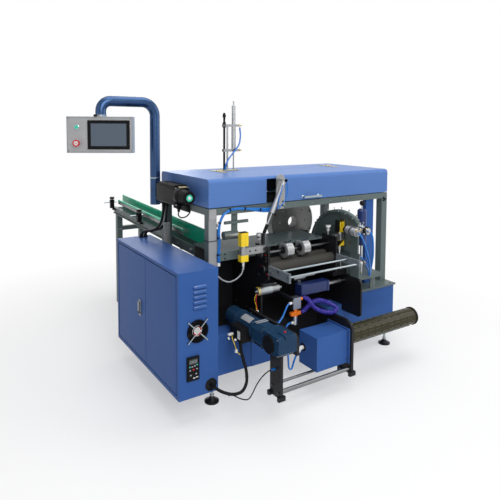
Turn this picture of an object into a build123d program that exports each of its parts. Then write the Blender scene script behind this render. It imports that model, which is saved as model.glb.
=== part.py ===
from build123d import *
import math
import os

# Roll wrapping machine, millimetres, +Z up, floor at z = 0.
# X runs along the machine, Y runs from the operator to the back.
# While modelling, x = 0 and y = 0 lie at the electric cabinet's front left corner.

# driving sizes of the machine
BASE_Z = 140            # underside of the cabinet and base above the floor
CAB_W = 222             # electric cabinet, along X
CAB_D = 918             # electric cabinet, along Y
CAB_TOP = 784
FRAME_X0 = 275          # frame and top cover
FRAME_X1 = 1684
FRAME_Y0 = 201
FRAME_Y1 = 845
POST = 50
RAIL_H = 38
COVER_Z0 = 1049
COVER_Z1 = 1212
SHEET = 3               # sheet steel of cabinet, cover and base
PLATE = 12              # machined plates of the mechanism
GAP = 5                 # room round every moving piece
RUN = 0.05              # radial running clearance of pins in holes

BASE_Y0 = 125           # front of the blue base
BASE_LOW = 368
BASE_HIGH = 418
TOP_PLATE = 12

LEFT_X = 490            # outer faces of the unwinder's two plates
RIGHT_X = 992
PLATE_U = 16            # thickness of the unwinder's plates

SIDE_L = 588            # outer face of the left side plate
SIDE_R = 1100           # inner face of the right side plate
BASE_SPLIT = SIDE_R + PLATE + 100   # x where the low and the high base meet
SIDE_Y0 = 78
SIDE_TOP = 825
TABLE_Z = 800
SENSOR_L = SIDE_L - 118         # right face of the left sensor
SENSOR_R = SIDE_R + PLATE + 30  # left face of the right sensor

parts = {}


def block(x0, x1, y0, y1, z0, z1):
    """A box between its limits."""
    return Pos((x0 + x1) / 2, (y0 + y1) / 2, (z0 + z1) / 2) * Box(x1 - x0, y1 - y0, z1 - z0)


def rod_x(x0, x1, y, z, radius):
    """A round bar along X."""
    return Pos((x0 + x1) / 2, y, z) * Rot(0, 90, 0) * Cylinder(radius, x1 - x0)


def rod_y(y0, y1, x, z, radius):
    """A round bar along Y."""
    return Pos(x, (y0 + y1) / 2, z) * Rot(90, 0, 0) * Cylinder(radius, y1 - y0)


def rod_z(z0, z1, x, y, radius):
    """A round bar along Z."""
    return Pos(x, y, (z0 + z1) / 2) * Cylinder(radius, z1 - z0)


def tube_z(x, y, z0, z1, wide, wall=4):
    """An upright square tube with its low corner at x, y."""
    outer = block(x, x + wide, y, y + wide, z0, z1)
    return outer - block(x + wall, x + wide - wall, y + wall, y + wide - wall, z0 - 1, z1 + 1)


def plate_yz(x, thick, points, rounded=()):
    """A plate in the YZ plane from its outline; rounded gives (index, radius) of corners."""
    with BuildSketch(Plane.YZ) as sketch:
        with BuildLine():
            Polyline(*points, close=True)
        make_face()
        for index, radius in rounded:
            corner = sketch.vertices().sort_by_distance(Vector(*points[index]))[0]
            fillet(corner, radius)
    return Pos(x, 0, 0) * extrude(sketch.sketch, thick)


# top cover: one rear half fixed to the frame and one front half that lifts
SEAM_Y = 605
COVER_R = 24
HINGE_Z = COVER_Z1 + 5
HINGE_R = 5
HINGE_PIN = 2
HINGE_W = 36            # strap hinge: width, and the half width of its middle knuckle
KNUCKLE = 6
STRAP = 95
LID_GAP = GAP
NOTCH_X0 = 659
NOTCH_X1 = 790
NOTCH_TOP = 1198


def hose(points, radius):
    """A round hose through the points, each bend as wide as its two runs allow."""
    stops = [Vector(*point) for point in points]
    radii = []
    for a, b, c in zip(stops, stops[1:], stops[2:]):
        turn = math.radians((b - a).get_angle(c - b))
        radii.append(0.45 * min((b - a).length, (c - b).length) / math.tan(turn / 2))
    with BuildPart() as tube:
        with BuildLine() as path:
            FilletPolyline(*points, radius=radii)
        with BuildSketch(Plane(origin=stops[0], z_dir=stops[1] - stops[0])):
            Circle(radius)
        sweep(path=path.line)
    return tube.part


def cover_profile(offset):
    """Cross-section of the whole cover in YZ, drawn inwards by offset."""
    low = COVER_Z0 + LID_GAP - (1 if offset else 0)
    with BuildSketch(Plane.YZ) as sketch:
        with BuildLine():
            Polyline(
                (FRAME_Y0 + offset, low), (FRAME_Y0 + offset, COVER_Z1 - offset),
                (FRAME_Y1 - offset, COVER_Z1 - offset), (FRAME_Y1 - offset, low), close=True)
        make_face()
        tops = sketch.vertices().sort_by(Axis.Y)[-2:]
        fillet(tops, COVER_R - offset)
    return sketch.sketch


def cover_shell():
    outer = Pos(FRAME_X0, 0, 0) * extrude(cover_profile(0), FRAME_X1 - FRAME_X0)
    inner = Pos(FRAME_X0 + SHEET, 0, 0) * extrude(cover_profile(SHEET), FRAME_X1 - FRAME_X0 - 2 * SHEET)
    return outer - inner


def build_cover():
    shell = cover_shell()
    front = block(FRAME_X0 - 1, FRAME_X1 + 1, FRAME_Y0 - 1, SEAM_Y - LID_GAP / 2, COVER_Z0 - 5, COVER_Z1 + 5)
    rear = block(FRAME_X0 - 1, FRAME_X1 + 1, SEAM_Y + LID_GAP / 2, FRAME_Y1 + 1, COVER_Z0 - 5, COVER_Z1 + 5)
    lid = shell & front
    lid -= block(NOTCH_X0, NOTCH_X1, FRAME_Y0 - 1, FRAME_Y0 + SHEET + 1, COVER_Z0 - 5, NOTCH_TOP)
    back = shell & rear
    foot = block(FRAME_X0, FRAME_X1, FRAME_Y1 - SHEET, FRAME_Y1, COVER_Z0, COVER_Z0 + LID_GAP)
    parts["cover_rear"] = back + foot
    parts["cover_lid"] = lid
    # pull handle: a flat grip on two short posts
    grip_x0 = 923
    grip_x1 = 1061
    grip_z = 1073
    grip = block(grip_x0, grip_x1, FRAME_Y0 - 30, FRAME_Y0 - 24, grip_z - 6, grip_z + 6)
    for x in (grip_x0 + 8, grip_x1 - 8):
        grip += rod_y(FRAME_Y0 - 25, FRAME_Y0, x, grip_z, 4)
    parts["lid_handle"] = grip
    # strap hinges: the rear leaf carries the middle knuckle and the pin, the front leaf the outer two
    rear_leaf = None
    lid_leaf = None
    for x in (566, 1494):
        x0 = x - HINGE_W / 2
        x1 = x + HINGE_W / 2
        fixed = block(x0, x1, SEAM_Y + 8, SEAM_Y + STRAP, COVER_Z1, COVER_Z1 + 3)
        fixed += block(x - KNUCKLE, x + KNUCKLE, SEAM_Y, SEAM_Y + 9, COVER_Z1, HINGE_Z)
        fixed += rod_x(x - KNUCKLE, x + KNUCKLE, SEAM_Y, HINGE_Z, HINGE_R)
        fixed += rod_x(x0, x1, SEAM_Y, HINGE_Z, HINGE_PIN)
        moving = block(x0, x1, SEAM_Y - STRAP, SEAM_Y - 8, COVER_Z1, COVER_Z1 + 3)
        for a, b in ((x0, x - KNUCKLE - 0.5), (x + KNUCKLE + 0.5, x1)):
            moving += block(a, b, SEAM_Y - 9, SEAM_Y, COVER_Z1, HINGE_Z)
            moving += rod_x(a, b, SEAM_Y, HINGE_Z, HINGE_R)
        moving -= rod_x(x0 - 1, x1 + 1, SEAM_Y, HINGE_Z, HINGE_PIN + RUN)
        rear_leaf = fixed if rear_leaf is None else rear_leaf + fixed
        lid_leaf = moving if lid_leaf is None else lid_leaf + moving
    parts["hinge_fixed_leaves"] = rear_leaf
    parts["hinge_lid_leaves"] = lid_leaf


# frame of square tube on the base
def build_frame():
    posts = tube_z(FRAME_X0, FRAME_Y0, BASE_LOW, COVER_Z0 - RAIL_H, POST)
    posts += tube_z(FRAME_X0, FRAME_Y1 - POST, BASE_LOW, COVER_Z0 - RAIL_H, POST)
    posts += tube_z(FRAME_X1 - POST, FRAME_Y0, BASE_HIGH + TOP_PLATE, COVER_Z0 - RAIL_H, POST)
    posts += tube_z(FRAME_X1 - POST, FRAME_Y1 - POST, BASE_HIGH + TOP_PLATE, COVER_Z0 - RAIL_H, POST)
    parts["frame_posts"] = posts
    z0 = COVER_Z0 - RAIL_H
    rails = block(FRAME_X0, FRAME_X1, FRAME_Y0, FRAME_Y0 + POST, z0, COVER_Z0)
    rails += block(FRAME_X0, FRAME_X1, FRAME_Y1 - POST, FRAME_Y1, z0, COVER_Z0)
    rails += block(FRAME_X0, FRAME_X0 + POST, FRAME_Y0, FRAME_Y1, z0, COVER_Z0)
    rails += block(FRAME_X1 - POST, FRAME_X1, FRAME_Y0, FRAME_Y1, z0, COVER_Z0)
    parts["blue_column"] = block(1495, 1567, 215, 245, BASE_HIGH + TOP_PLATE, z0)
    # guide bars of the folding carriage, seen through the notch
    bars = None
    for y, z, radius in ((300, 1110, 10), (400, 1110, 10)):
        bar = rod_x(FRAME_X0 + 60, FRAME_X1 - 60, y, z, radius)
        bars = bar if bars is None else bars + bar
    parts["carriage_rods"] = bars
    for x in (FRAME_X0 + POST, FRAME_X1 - POST - PLATE):
        rails += block(x, x + PLATE, 270, 430, COVER_Z0 - 20, 1140)
        rails += block(x, x + PLATE, 251, 270, COVER_Z0 - 30, COVER_Z0)
    parts["top_rails"] = rails - bars


# base of painted sheet: a low part under the mechanism and a high part at the right
WALL_Y = 470            # front of the wall behind the mechanism
WALL_T = 10
SHELF_X1 = BASE_SPLIT + 278
SHELF_Z = 550
FEET = ((261, 140), (261, 800), (1631, 150), (1631, 800))


def build_base():
    base = block(CAB_W, BASE_SPLIT, BASE_Y0, FRAME_Y1, BASE_Z, BASE_LOW)
    base += block(BASE_SPLIT, FRAME_X1, BASE_Y0, FRAME_Y1, BASE_Z, BASE_HIGH)
    parts["base_housing"] = base
    # top plate, and the small shelf that stands on it
    top = block(BASE_SPLIT, FRAME_X1 + 6, BASE_Y0 - 12, FRAME_Y1 + 6, BASE_HIGH, BASE_HIGH + TOP_PLATE)
    top += block(BASE_SPLIT, SHELF_X1, 58, 300, SHELF_Z - 8, SHELF_Z)
    top += block(BASE_SPLIT, SHELF_X1, 58, 62, SHELF_Z - 26, SHELF_Z)
    for x in (BASE_SPLIT + 4, SHELF_X1 - 40):
        top += block(x, x + 34, 120, 128, BASE_HIGH + TOP_PLATE, SHELF_Z - 7)
    parts["base_top_plate"] = top
    # black trays over the low base and a black front between the unwinder's two plates
    trays = block(LEFT_X + PLATE_U, RIGHT_X, BASE_Y0 - SHEET, BASE_Y0, BASE_Z, BASE_LOW)
    trays += block(LEFT_X + PLATE_U, RIGHT_X, BASE_Y0 - SHEET, BASE_Y0 + 105, BASE_LOW, BASE_LOW + SHEET)
    trays -= block(SIDE_L, SIDE_L + PLATE, BASE_Y0 + 25, WALL_Y, BASE_LOW - 1, BASE_LOW + SHEET + 1)
    trays += block(FRAME_X0 + POST, SIDE_L, BASE_Y0 + 105, WALL_Y, BASE_LOW, BASE_LOW + SHEET)
    trays += block(SIDE_L + PLATE, BASE_SPLIT - PLATE, BASE_Y0 + 105, WALL_Y, BASE_LOW, BASE_LOW + SHEET)
    parts["bay_panels"] = trays
    feet = None
    for x, y in FEET:
        foot = Pos(x, y, 0) * make_foot()
        feet = foot if feet is None else feet + foot
    parts["levelling_feet"] = feet


def make_foot():
    """Bell-shaped pad, stem and lock nut of one levelling foot."""
    with BuildPart() as foot:
        with BuildSketch(Plane.XZ):
            with BuildLine():
                Polyline((0, 0), (40, 0), (40, 8))
                ThreePointArc((40, 8), (24, 16), (12, 30))
                Polyline((12, 30), (8, 34), (8, BASE_Z - 12), (14, BASE_Z - 12), (14, BASE_Z), (0, BASE_Z), (0, 0))
            make_face()
        revolve(axis=Axis.Z)
    return foot.part


# electric cabinet with two doors on its left side
DOOR_Y0 = 26
DOOR_Y1 = 894
DOOR_Z0 = 165
DOOR_Z1 = 762
DOOR_T = 18
DOOR_SEAM = 437
PIVOT = DOOR_T / 2
PIN_R = 4
PIN_LONG = 14
FAN_X = 103
FAN_Z = 479
FAN_R = 58
LOUVRES = (697, 671, 645, 619, 593)


def door(y0, y1, hinge_y):
    """A sheet door as a shallow tray, rounded along its hinge edge, with a pivot pin at each end."""
    with BuildSketch() as outline:
        with Locations(((DOOR_T / 2), (y0 + y1) / 2)):
            Rectangle(DOOR_T, y1 - y0)
        edge = [v for v in outline.vertices() if abs(v.Y - hinge_y) < 1]
        fillet(edge, PIVOT - 0.01)
    body = Pos(0, 0, DOOR_Z0) * extrude(outline.sketch, DOOR_Z1 - DOOR_Z0)
    rim = 20
    body -= block(2, DOOR_T + 1, y0 + rim, y1 - rim, DOOR_Z0 + rim, DOOR_Z1 - rim)
    pin_y = hinge_y + math.copysign(PIVOT, (y0 + y1) / 2 - hinge_y)
    for z0, z1 in ((DOOR_Z0 - PIN_LONG, DOOR_Z0 + 2), (DOOR_Z1 - 2, DOOR_Z1 + PIN_LONG)):
        body += rod_z(z0, z1, PIVOT, pin_y, PIN_R)
    return body, pin_y


def build_cabinet():
    body = block(0, CAB_W, 0, CAB_D, BASE_Z, CAB_TOP)
    body -= block(DOOR_T + 12, CAB_W - SHEET, SHEET, CAB_D - SHEET, BASE_Z + SHEET, CAB_TOP - SHEET)
    body -= block(-1, DOOR_T + 13, DOOR_Y0 - GAP, DOOR_Y1 + GAP, DOOR_Z0 - GAP, DOOR_Z1 + GAP)
    body -= rod_y(-1, SHEET + 1, FAN_X, FAN_Z, FAN_R)
    body -= rod_y(-1, SHEET + 1, 180, 181, 30)
    for z in LOUVRES:
        body -= block(84, 152, -1, SHEET + 1, z - 8, z - 2)
    rear, rear_pin = door(DOOR_SEAM + GAP / 2, DOOR_Y1, DOOR_Y1)
    front, front_pin = door(DOOR_Y0, DOOR_SEAM - GAP / 2, DOOR_Y0)
    for y in (rear_pin, front_pin):
        for z0, z1 in ((DOOR_Z0 - PIN_LONG - 1, DOOR_Z0), (DOOR_Z1, DOOR_Z1 + PIN_LONG + 1)):
            body -= rod_z(z0, z1, PIVOT, y, PIN_R + RUN)
    parts["cabinet_door_rear"] = rear
    parts["cabinet_door_front"] = front
    # pressed louvres on the front face
    for z in LOUVRES:
        body += rod_x(80, 156, 0, z, 9) & block(79, 157, -20, 0, z - 2, z + 10)
    parts["cabinet_body"] = body
    # long-handled lock on the rear door
    lock = block(-4, 0, 500, 530, 415, 505)
    lock += block(-14, -4, 508, 522, 430, 498)
    parts["door_lock"] = lock
    # fan: guard with four rings and four arms, hub and blades behind it
    guard = None
    for radius in (26, 36, 46, 56):
        ring = rod_y(-9, -5, FAN_X, FAN_Z, radius + 1.5) - rod_y(-10, -4, FAN_X, FAN_Z, radius - 1.5)
        guard = ring if guard is None else guard + ring
    for angle in (45, 135):
        guard += Pos(FAN_X, -7, FAN_Z) * Rot(0, angle, 0) * Box(150, 4, 4)
    guard -= rod_y(-12, 0, FAN_X, FAN_Z, 24)
    for angle in (45, 135, 225, 315):
        x = FAN_X + 73 * math.cos(math.radians(angle))
        z = FAN_Z + 73 * math.sin(math.radians(angle))
        guard += rod_y(-9, 0, x, z, 4)
    frame = block(FAN_X - 60, FAN_X + 60, SHEET, 28, FAN_Z - 60, FAN_Z + 60)
    frame -= rod_y(SHEET - 1, 29, FAN_X, FAN_Z, FAN_R - 1)
    frame += rod_y(24, 28, FAN_X, FAN_Z, 20)
    for angle in (0, 120, 240):
        frame += Pos(FAN_X, 26, FAN_Z) * Rot(0, angle, 0) * Pos(36, 0, 0) * Box(48, 4, 6)
    frame += rod_y(12, 25, FAN_X, FAN_Z, 4)
    parts["fan_housing"] = guard + frame
    rotor = rod_y(3, 19, FAN_X, FAN_Z, 20)
    for index in range(7):
        blade = Pos(34, 0, 0) * Rot(32, 0, 0) * Box(32, 3, 16)
        rotor += Pos(FAN_X, 11, FAN_Z) * Rot(0, index * 360 / 7, 0) * blade
    rotor -= rod_y(11, 20, FAN_X, FAN_Z, 4 + RUN)
    parts["fan_rotor"] = rotor
    pad = block(42, 108, -12, 0, 235, 355)
    pad -= block(50, 100, -13, -10, 318, 346)
    parts["drive_keypad"] = pad


# operator panel on a swivelling tube at the left rear corner
POLE_X = 212
POLE_Y = 800
POLE_R = 32
POLE_JOINT = 1180
SPIGOT_R = 15           # spigot of the pole in the arm, and of the arm in the panel
PIVOT_R = 18
ARM_Z = 1650
ARM_LONG = 340
BEND = 85
DROP_BEND = 60
DROP_Z = ARM_Z - 94
HMI_TURN = -30
HMI_W = 388
HMI_H = 215
HMI_D = 65


def build_pole():
    socket = rod_z(1005, POLE_JOINT - 1, POLE_X, POLE_Y, POLE_R)
    socket += block(POLE_X, FRAME_X0, POLE_Y - 25, POLE_Y + 25, 1011, 1049)
    socket += rod_z(POLE_JOINT - 2, POLE_JOINT + 40, POLE_X, POLE_Y, SPIGOT_R)
    parts["pole_socket"] = socket


def build_arm():
    """One bent tube: up, across over the cabinet, and down to the panel."""
    joint_x = POLE_X - ARM_LONG
    route = ((POLE_X, POLE_Y, POLE_JOINT), (POLE_X, POLE_Y, ARM_Z), (joint_x, POLE_Y, ARM_Z),
             (joint_x, POLE_Y, DROP_Z + 12))
    with BuildPart() as tube:
        with BuildLine() as path:
            FilletPolyline(*route, radius=[BEND, DROP_BEND])
        with BuildSketch(Plane.XY.offset(POLE_JOINT)):
            with Locations((POLE_X, POLE_Y)):
                Circle(POLE_R)
        sweep(path=path.line)
    arm = tube.part
    arm -= rod_z(POLE_JOINT - 1, POLE_JOINT + 41, POLE_X, POLE_Y, SPIGOT_R + RUN)
    arm += rod_z(DROP_Z - 6, DROP_Z + 13, joint_x, POLE_Y, PIVOT_R)
    parts["panel_arm"] = arm
    return joint_x


def build_panel(joint_x):
    z1 = DROP_Z
    z0 = z1 - HMI_H
    place = Pos(joint_x, POLE_Y, 0) * Rot(0, 0, HMI_TURN)
    box = block(-HMI_W / 2, HMI_W / 2, -HMI_D / 2, HMI_D / 2, z0, z1)
    box = fillet(box.edges().filter_by(Axis.Z), 6)
    box += rod_z(z1 - 1, z1 + 11.5, 0, 0, 34)
    box -= rod_z(z1 - 30, z1 + 13, 0, 0, PIVOT_R + RUN)
    parts["panel_housing"] = place * box
    front = -HMI_D / 2
    bezel = block(-70, 175, front - 6, front, z0 + 22, z1 - 22)
    bezel -= block(-52, 157, front - 7, front - 4, z0 + 40, z1 - 40)
    parts["panel_screen"] = place * bezel
    green = rod_y(front - 12, front, -132, z1 - 62, 11)
    red = rod_y(front - 14, front, -132, z0 + 58, 9)
    red += rod_y(front - 26, front - 14, -132, z0 + 58, 20)
    parts["panel_buttons"] = place * (green + red)


# conveyor that brings the rolls in from the back, sloping down to the table
CONV_X0 = 330           # outer faces of its side rails
CONV_X1 = 573
CONV_Y0 = WALL_Y + WALL_T + 4
CONV_LONG = 1516
CONV_Z = 775            # top of the belt at the table
CONV_TILT = 1.5
RAIL_T = 12
RAIL_UP = 52
BELT_R = 24
BELT_T = 3
LEG_W = 45
GUARD_X = 396           # left face of the tall right guard
GUARD_H = 68


def on_slope(shape):
    """Turns a level conveyor piece to the conveyor's slope about its front end."""
    return Pos(0, CONV_Y0, CONV_Z) * Rot(CONV_TILT, 0, 0) * Pos(0, -CONV_Y0, -CONV_Z) * shape


def build_conveyor():
    in0 = CONV_X0 + RAIL_T
    in1 = CONV_X1 - RAIL_T
    y_end = CONV_Y0 + CONV_LONG
    y0 = CONV_Y0 + 40
    y1 = y_end - 30
    axis_z = CONV_Z - BELT_R
    low = CONV_Z - RAIL_UP
    frame = block(CONV_X0, in0, CONV_Y0, y_end, low, CONV_Z + 2)
    frame += block(in1, CONV_X1, CONV_Y0, y_end, low, CONV_Z + 2)
    # lips of the two channel rails
    for z in (low, CONV_Z - 6):
        frame += block(CONV_X0 - 10, CONV_X0, CONV_Y0 + 380, y_end, z, z + 6)
    for step in range(4):
        y = CONV_Y0 + 200 + step * 400
        frame += block(in0, in1, y, y + 30, low - 12, low)
    # slider bed and the two end rollers inside the belt
    frame += block(in0, in1, y0 + 60, y1 - 60, CONV_Z - 9, CONV_Z - BELT_T)
    for y in (y0, y1):
        frame += rod_x(in0, in1, y, axis_z, BELT_R - BELT_T)
    # lugs that bolt the rails to the machine's rear wall
    lugs = block(CONV_X0, in0, WALL_Y + WALL_T, CONV_Y0 + 40, low + 12, low + 42)
    lugs += block(in1, CONV_X1, WALL_Y + WALL_T, CONV_Y0 + 40, low + 12, low + 42)
    parts["conveyor_frame"] = on_slope(frame) + lugs
    b0 = in0 + GAP
    b1 = in1 - GAP
    outer = block(b0, b1, y0, y1, CONV_Z - 2 * BELT_R, CONV_Z)
    inner = block(b0 - 1, b1 + 1, y0, y1, CONV_Z - 2 * BELT_R + BELT_T, CONV_Z - BELT_T)
    for y in (y0, y1):
        outer += rod_x(b0, b1, y, axis_z, BELT_R)
        inner += rod_x(b0 - 1, b1 + 1, y, axis_z, BELT_R - BELT_T)
    parts["conveyor_belt"] = on_slope(outer - inner)
    # green plastic guards: a low strip at the left and a tall wall at the right
    top = CONV_Z + GUARD_H
    strip = block(in0 + 2, in0 + 14, CONV_Y0 + 200, y_end - 60, top - 12, top)
    wall = block(GUARD_X, GUARD_X + 8, CONV_Y0, y_end - 20, CONV_Z + 3, top)
    parts["conveyor_guards"] = on_slope(strip + wall)
    # aluminium carrier of the strip, and the clamps with their rods and knobs
    holders = block(in0 + 2, in0 + 10, CONV_Y0 + 200, y_end - 60, top - 36, top - 12)
    for y in (CONV_Y0 + 860, y_end - 20):
        holders += rod_x(CONV_X0 - 92, in0 + 2, y, top - 24, 5)
        holders += block(CONV_X0 - 40, CONV_X0 - 10, y - 15, y + 15, CONV_Z - 6, top - 10)
        holders += rod_z(top - 10, top + 4, CONV_X0 - 25, y, 6)
        holders += rod_z(top + 4, top + 20, CONV_X0 - 25, y, 19)
        holders += block(CONV_X0 - 20, CONV_X0, y - 15, y + 15, CONV_Z - 24, CONV_Z - 6)
    for y in (CONV_Y0 + 160, CONV_Y0 + 950):
        holders += rod_x(GUARD_X + 8, in1, y, CONV_Z + 34, 5)
        holders += block(in1 - 20, CONV_X1, y - 14, y + 14, CONV_Z + 2, CONV_Z + 54)
        holders += rod_z(CONV_Z + 54, CONV_Z + 68, in1 - 4, y, 6)
        holders += rod_z(CONV_Z + 68, CONV_Z + 84, in1 - 4, y, 19)
    parts["guard_clamps"] = on_slope(holders)
    # legs: square tubes under the far end, cut off along the slope, with a cross bar
    leg_y = y_end - 80
    rise = on_slope(block(CONV_X0, CONV_X1, CONV_Y0, y_end, low - 200, low))
    legs = tube_z(CONV_X0, leg_y, 0, CONV_Z + 100, LEG_W)
    legs += tube_z(CONV_X1 - LEG_W, leg_y, 0, CONV_Z + 100, LEG_W)
    legs = legs & (rise + block(CONV_X0 - 1, CONV_X1 + 1, leg_y - 1, leg_y + LEG_W + 1, -1, low - 100))
    for z in (180, 620):
        legs += block(CONV_X0 + LEG_W, CONV_X1 - LEG_W, leg_y + 5, leg_y + LEG_W - 5, z, z + 35)
    parts["conveyor_legs"] = legs


# mechanism between the two side plates
PRESS_Y = 150           # shaft of the two press wheels
PRESS_Z = 773
PRESS_R = 8


def build_bed():
    left = plate_yz(SIDE_L, PLATE, (
        (SIDE_Y0, 640), (SIDE_Y0, SIDE_TOP), (210, SIDE_TOP), (210, TABLE_Z - 10), (WALL_Y, TABLE_Z - 10),
        (WALL_Y, BASE_LOW), (150, BASE_LOW), (150, 600)), ((1, 8),))
    left += block(SIDE_L, SIDE_L + PLATE, 130, 150, SIDE_TOP - 5, 893)
    right = plate_yz(SIDE_R, PLATE, (
        (SIDE_Y0, 600), (SIDE_Y0, SIDE_TOP), (210, SIDE_TOP), (210, TABLE_Z - 10), (WALL_Y, TABLE_Z - 10),
        (WALL_Y, 600)), ((1, 8),))
    lower = plate_yz(BASE_SPLIT - PLATE, PLATE, (
        (-40, 332), (-40, 572), (WALL_Y, 572), (WALL_Y, BASE_LOW), (BASE_Y0, BASE_LOW), (BASE_Y0, 332)),
        ((0, 22), (1, 40)))
    shaft_hole = rod_x(SIDE_L - 1, SIDE_R + PLATE + 1, PRESS_Y, PRESS_Z, PRESS_R + RUN)
    parts["side_plates"] = left + right + lower - shaft_hole
    wall = block(FRAME_X0 + POST, BASE_SPLIT - PLATE, WALL_Y, WALL_Y + WALL_T, BASE_LOW, TABLE_Z - 10)
    wall += block(SIDE_R, BASE_SPLIT, 100, WALL_Y, 572, 600)
    parts["back_wall"] = wall
    table = block(FRAME_X0 + POST, SIDE_L, FRAME_Y0 + 4, WALL_Y + 10, TABLE_Z - 10, TABLE_Z)
    table += block(SIDE_L, SIDE_R + PLATE, 210, WALL_Y + 10, TABLE_Z - 10, TABLE_Z)
    table += block(FRAME_X0 + POST, SIDE_L, FRAME_Y0 + 4, FRAME_Y0 + 14, TABLE_Z - 50, TABLE_Z - 10)
    parts["table_plate"] = table
    rollers = rod_x(SIDE_L + PLATE, SIDE_R, 123, 692, 30)
    rollers += rod_x(SIDE_L + PLATE, SIDE_R, 194, 697, 30)
    parts["draw_rollers"] = rollers
    wheels = rod_x(SIDE_L + 1, SIDE_R + PLATE - 1, PRESS_Y, PRESS_Z, PRESS_R)
    for x in (746, 871):
        wheel = rod_x(x, x + 48, PRESS_Y, PRESS_Z, 49) - rod_x(x - 1, x + 49, PRESS_Y, PRESS_Z, PRESS_R)
        wheel -= rod_x(x - 1, x + 12, PRESS_Y, PRESS_Z, 38) - rod_x(x - 1, x + 12, PRESS_Y, PRESS_Z, 18)
        wheels += wheel
    parts["press_wheels"] = wheels
    # front guide rods in two brackets
    rods = rod_x(SIDE_L + PLATE, SIDE_R, -20, 708, 6) + rod_x(SIDE_L + PLATE, SIDE_R, -104, 697, 6)
    parts["guide_rods"] = rods
    brackets = block(SIDE_L, SIDE_L + PLATE, -117, SIDE_Y0, 668, 720)
    brackets += block(SIDE_R, SIDE_R + PLATE, -117, SIDE_Y0, 680, 720)
    brackets += rod_x(SIDE_R + PLATE, SIDE_R + PLATE + 20, -104, 697, 17)
    parts["guide_brackets"] = brackets


def build_discs():
    # ring disc standing behind the table
    ring_y0 = 500
    cx = 1087
    cz = 854
    ring = rod_y(ring_y0, ring_y0 + 60, cx, cz, 175) - rod_y(ring_y0 - 1, ring_y0 + 61, cx, cz, 38)
    ring -= rod_y(ring_y0 + 14, ring_y0 + 61, cx, cz, 150) - rod_y(ring_y0 + 13, ring_y0 + 62, cx, cz, 62)
    for angle in range(0, 360, 45):
        x = cx + 106 * math.cos(math.radians(angle))
        z = cz + 106 * math.sin(math.radians(angle))
        ring -= rod_y(ring_y0 - 1, ring_y0 + 15, x, z, 6)
    ring += block(cx - 60, cx + 60, ring_y0 + 60, ring_y0 + 72, BASE_LOW, cz - 60)
    parts["ring_disc"] = ring
    # folding disc: an upright sector plate with its rim
    dy = 145
    dz = 689
    disc = rod_x(BASE_SPLIT - PLATE, BASE_SPLIT, dy, dz, 287)
    rim = rod_x(BASE_SPLIT - PLATE - 14, BASE_SPLIT - PLATE, dy, dz, 287)
    rim -= rod_x(BASE_SPLIT - PLATE - 15, BASE_SPLIT - PLATE + 1, dy, dz, 270)
    keep = block(BASE_SPLIT - 40, BASE_SPLIT + 20, dy - 150, dy + 300, 720, 1000)
    neck = block(BASE_SPLIT, BASE_SPLIT + 10, 60, 260, SHELF_Z, 760)
    parts["fold_disc"] = (disc & keep) + (rim & keep) + neck


# unwinder in front of the base
UNW_Y0 = -180
UNW_Z0 = 88
MANDREL_Y = -75
MANDREL_Z = 270
MANDREL_R = 52
MANDREL_END = 1635


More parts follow.
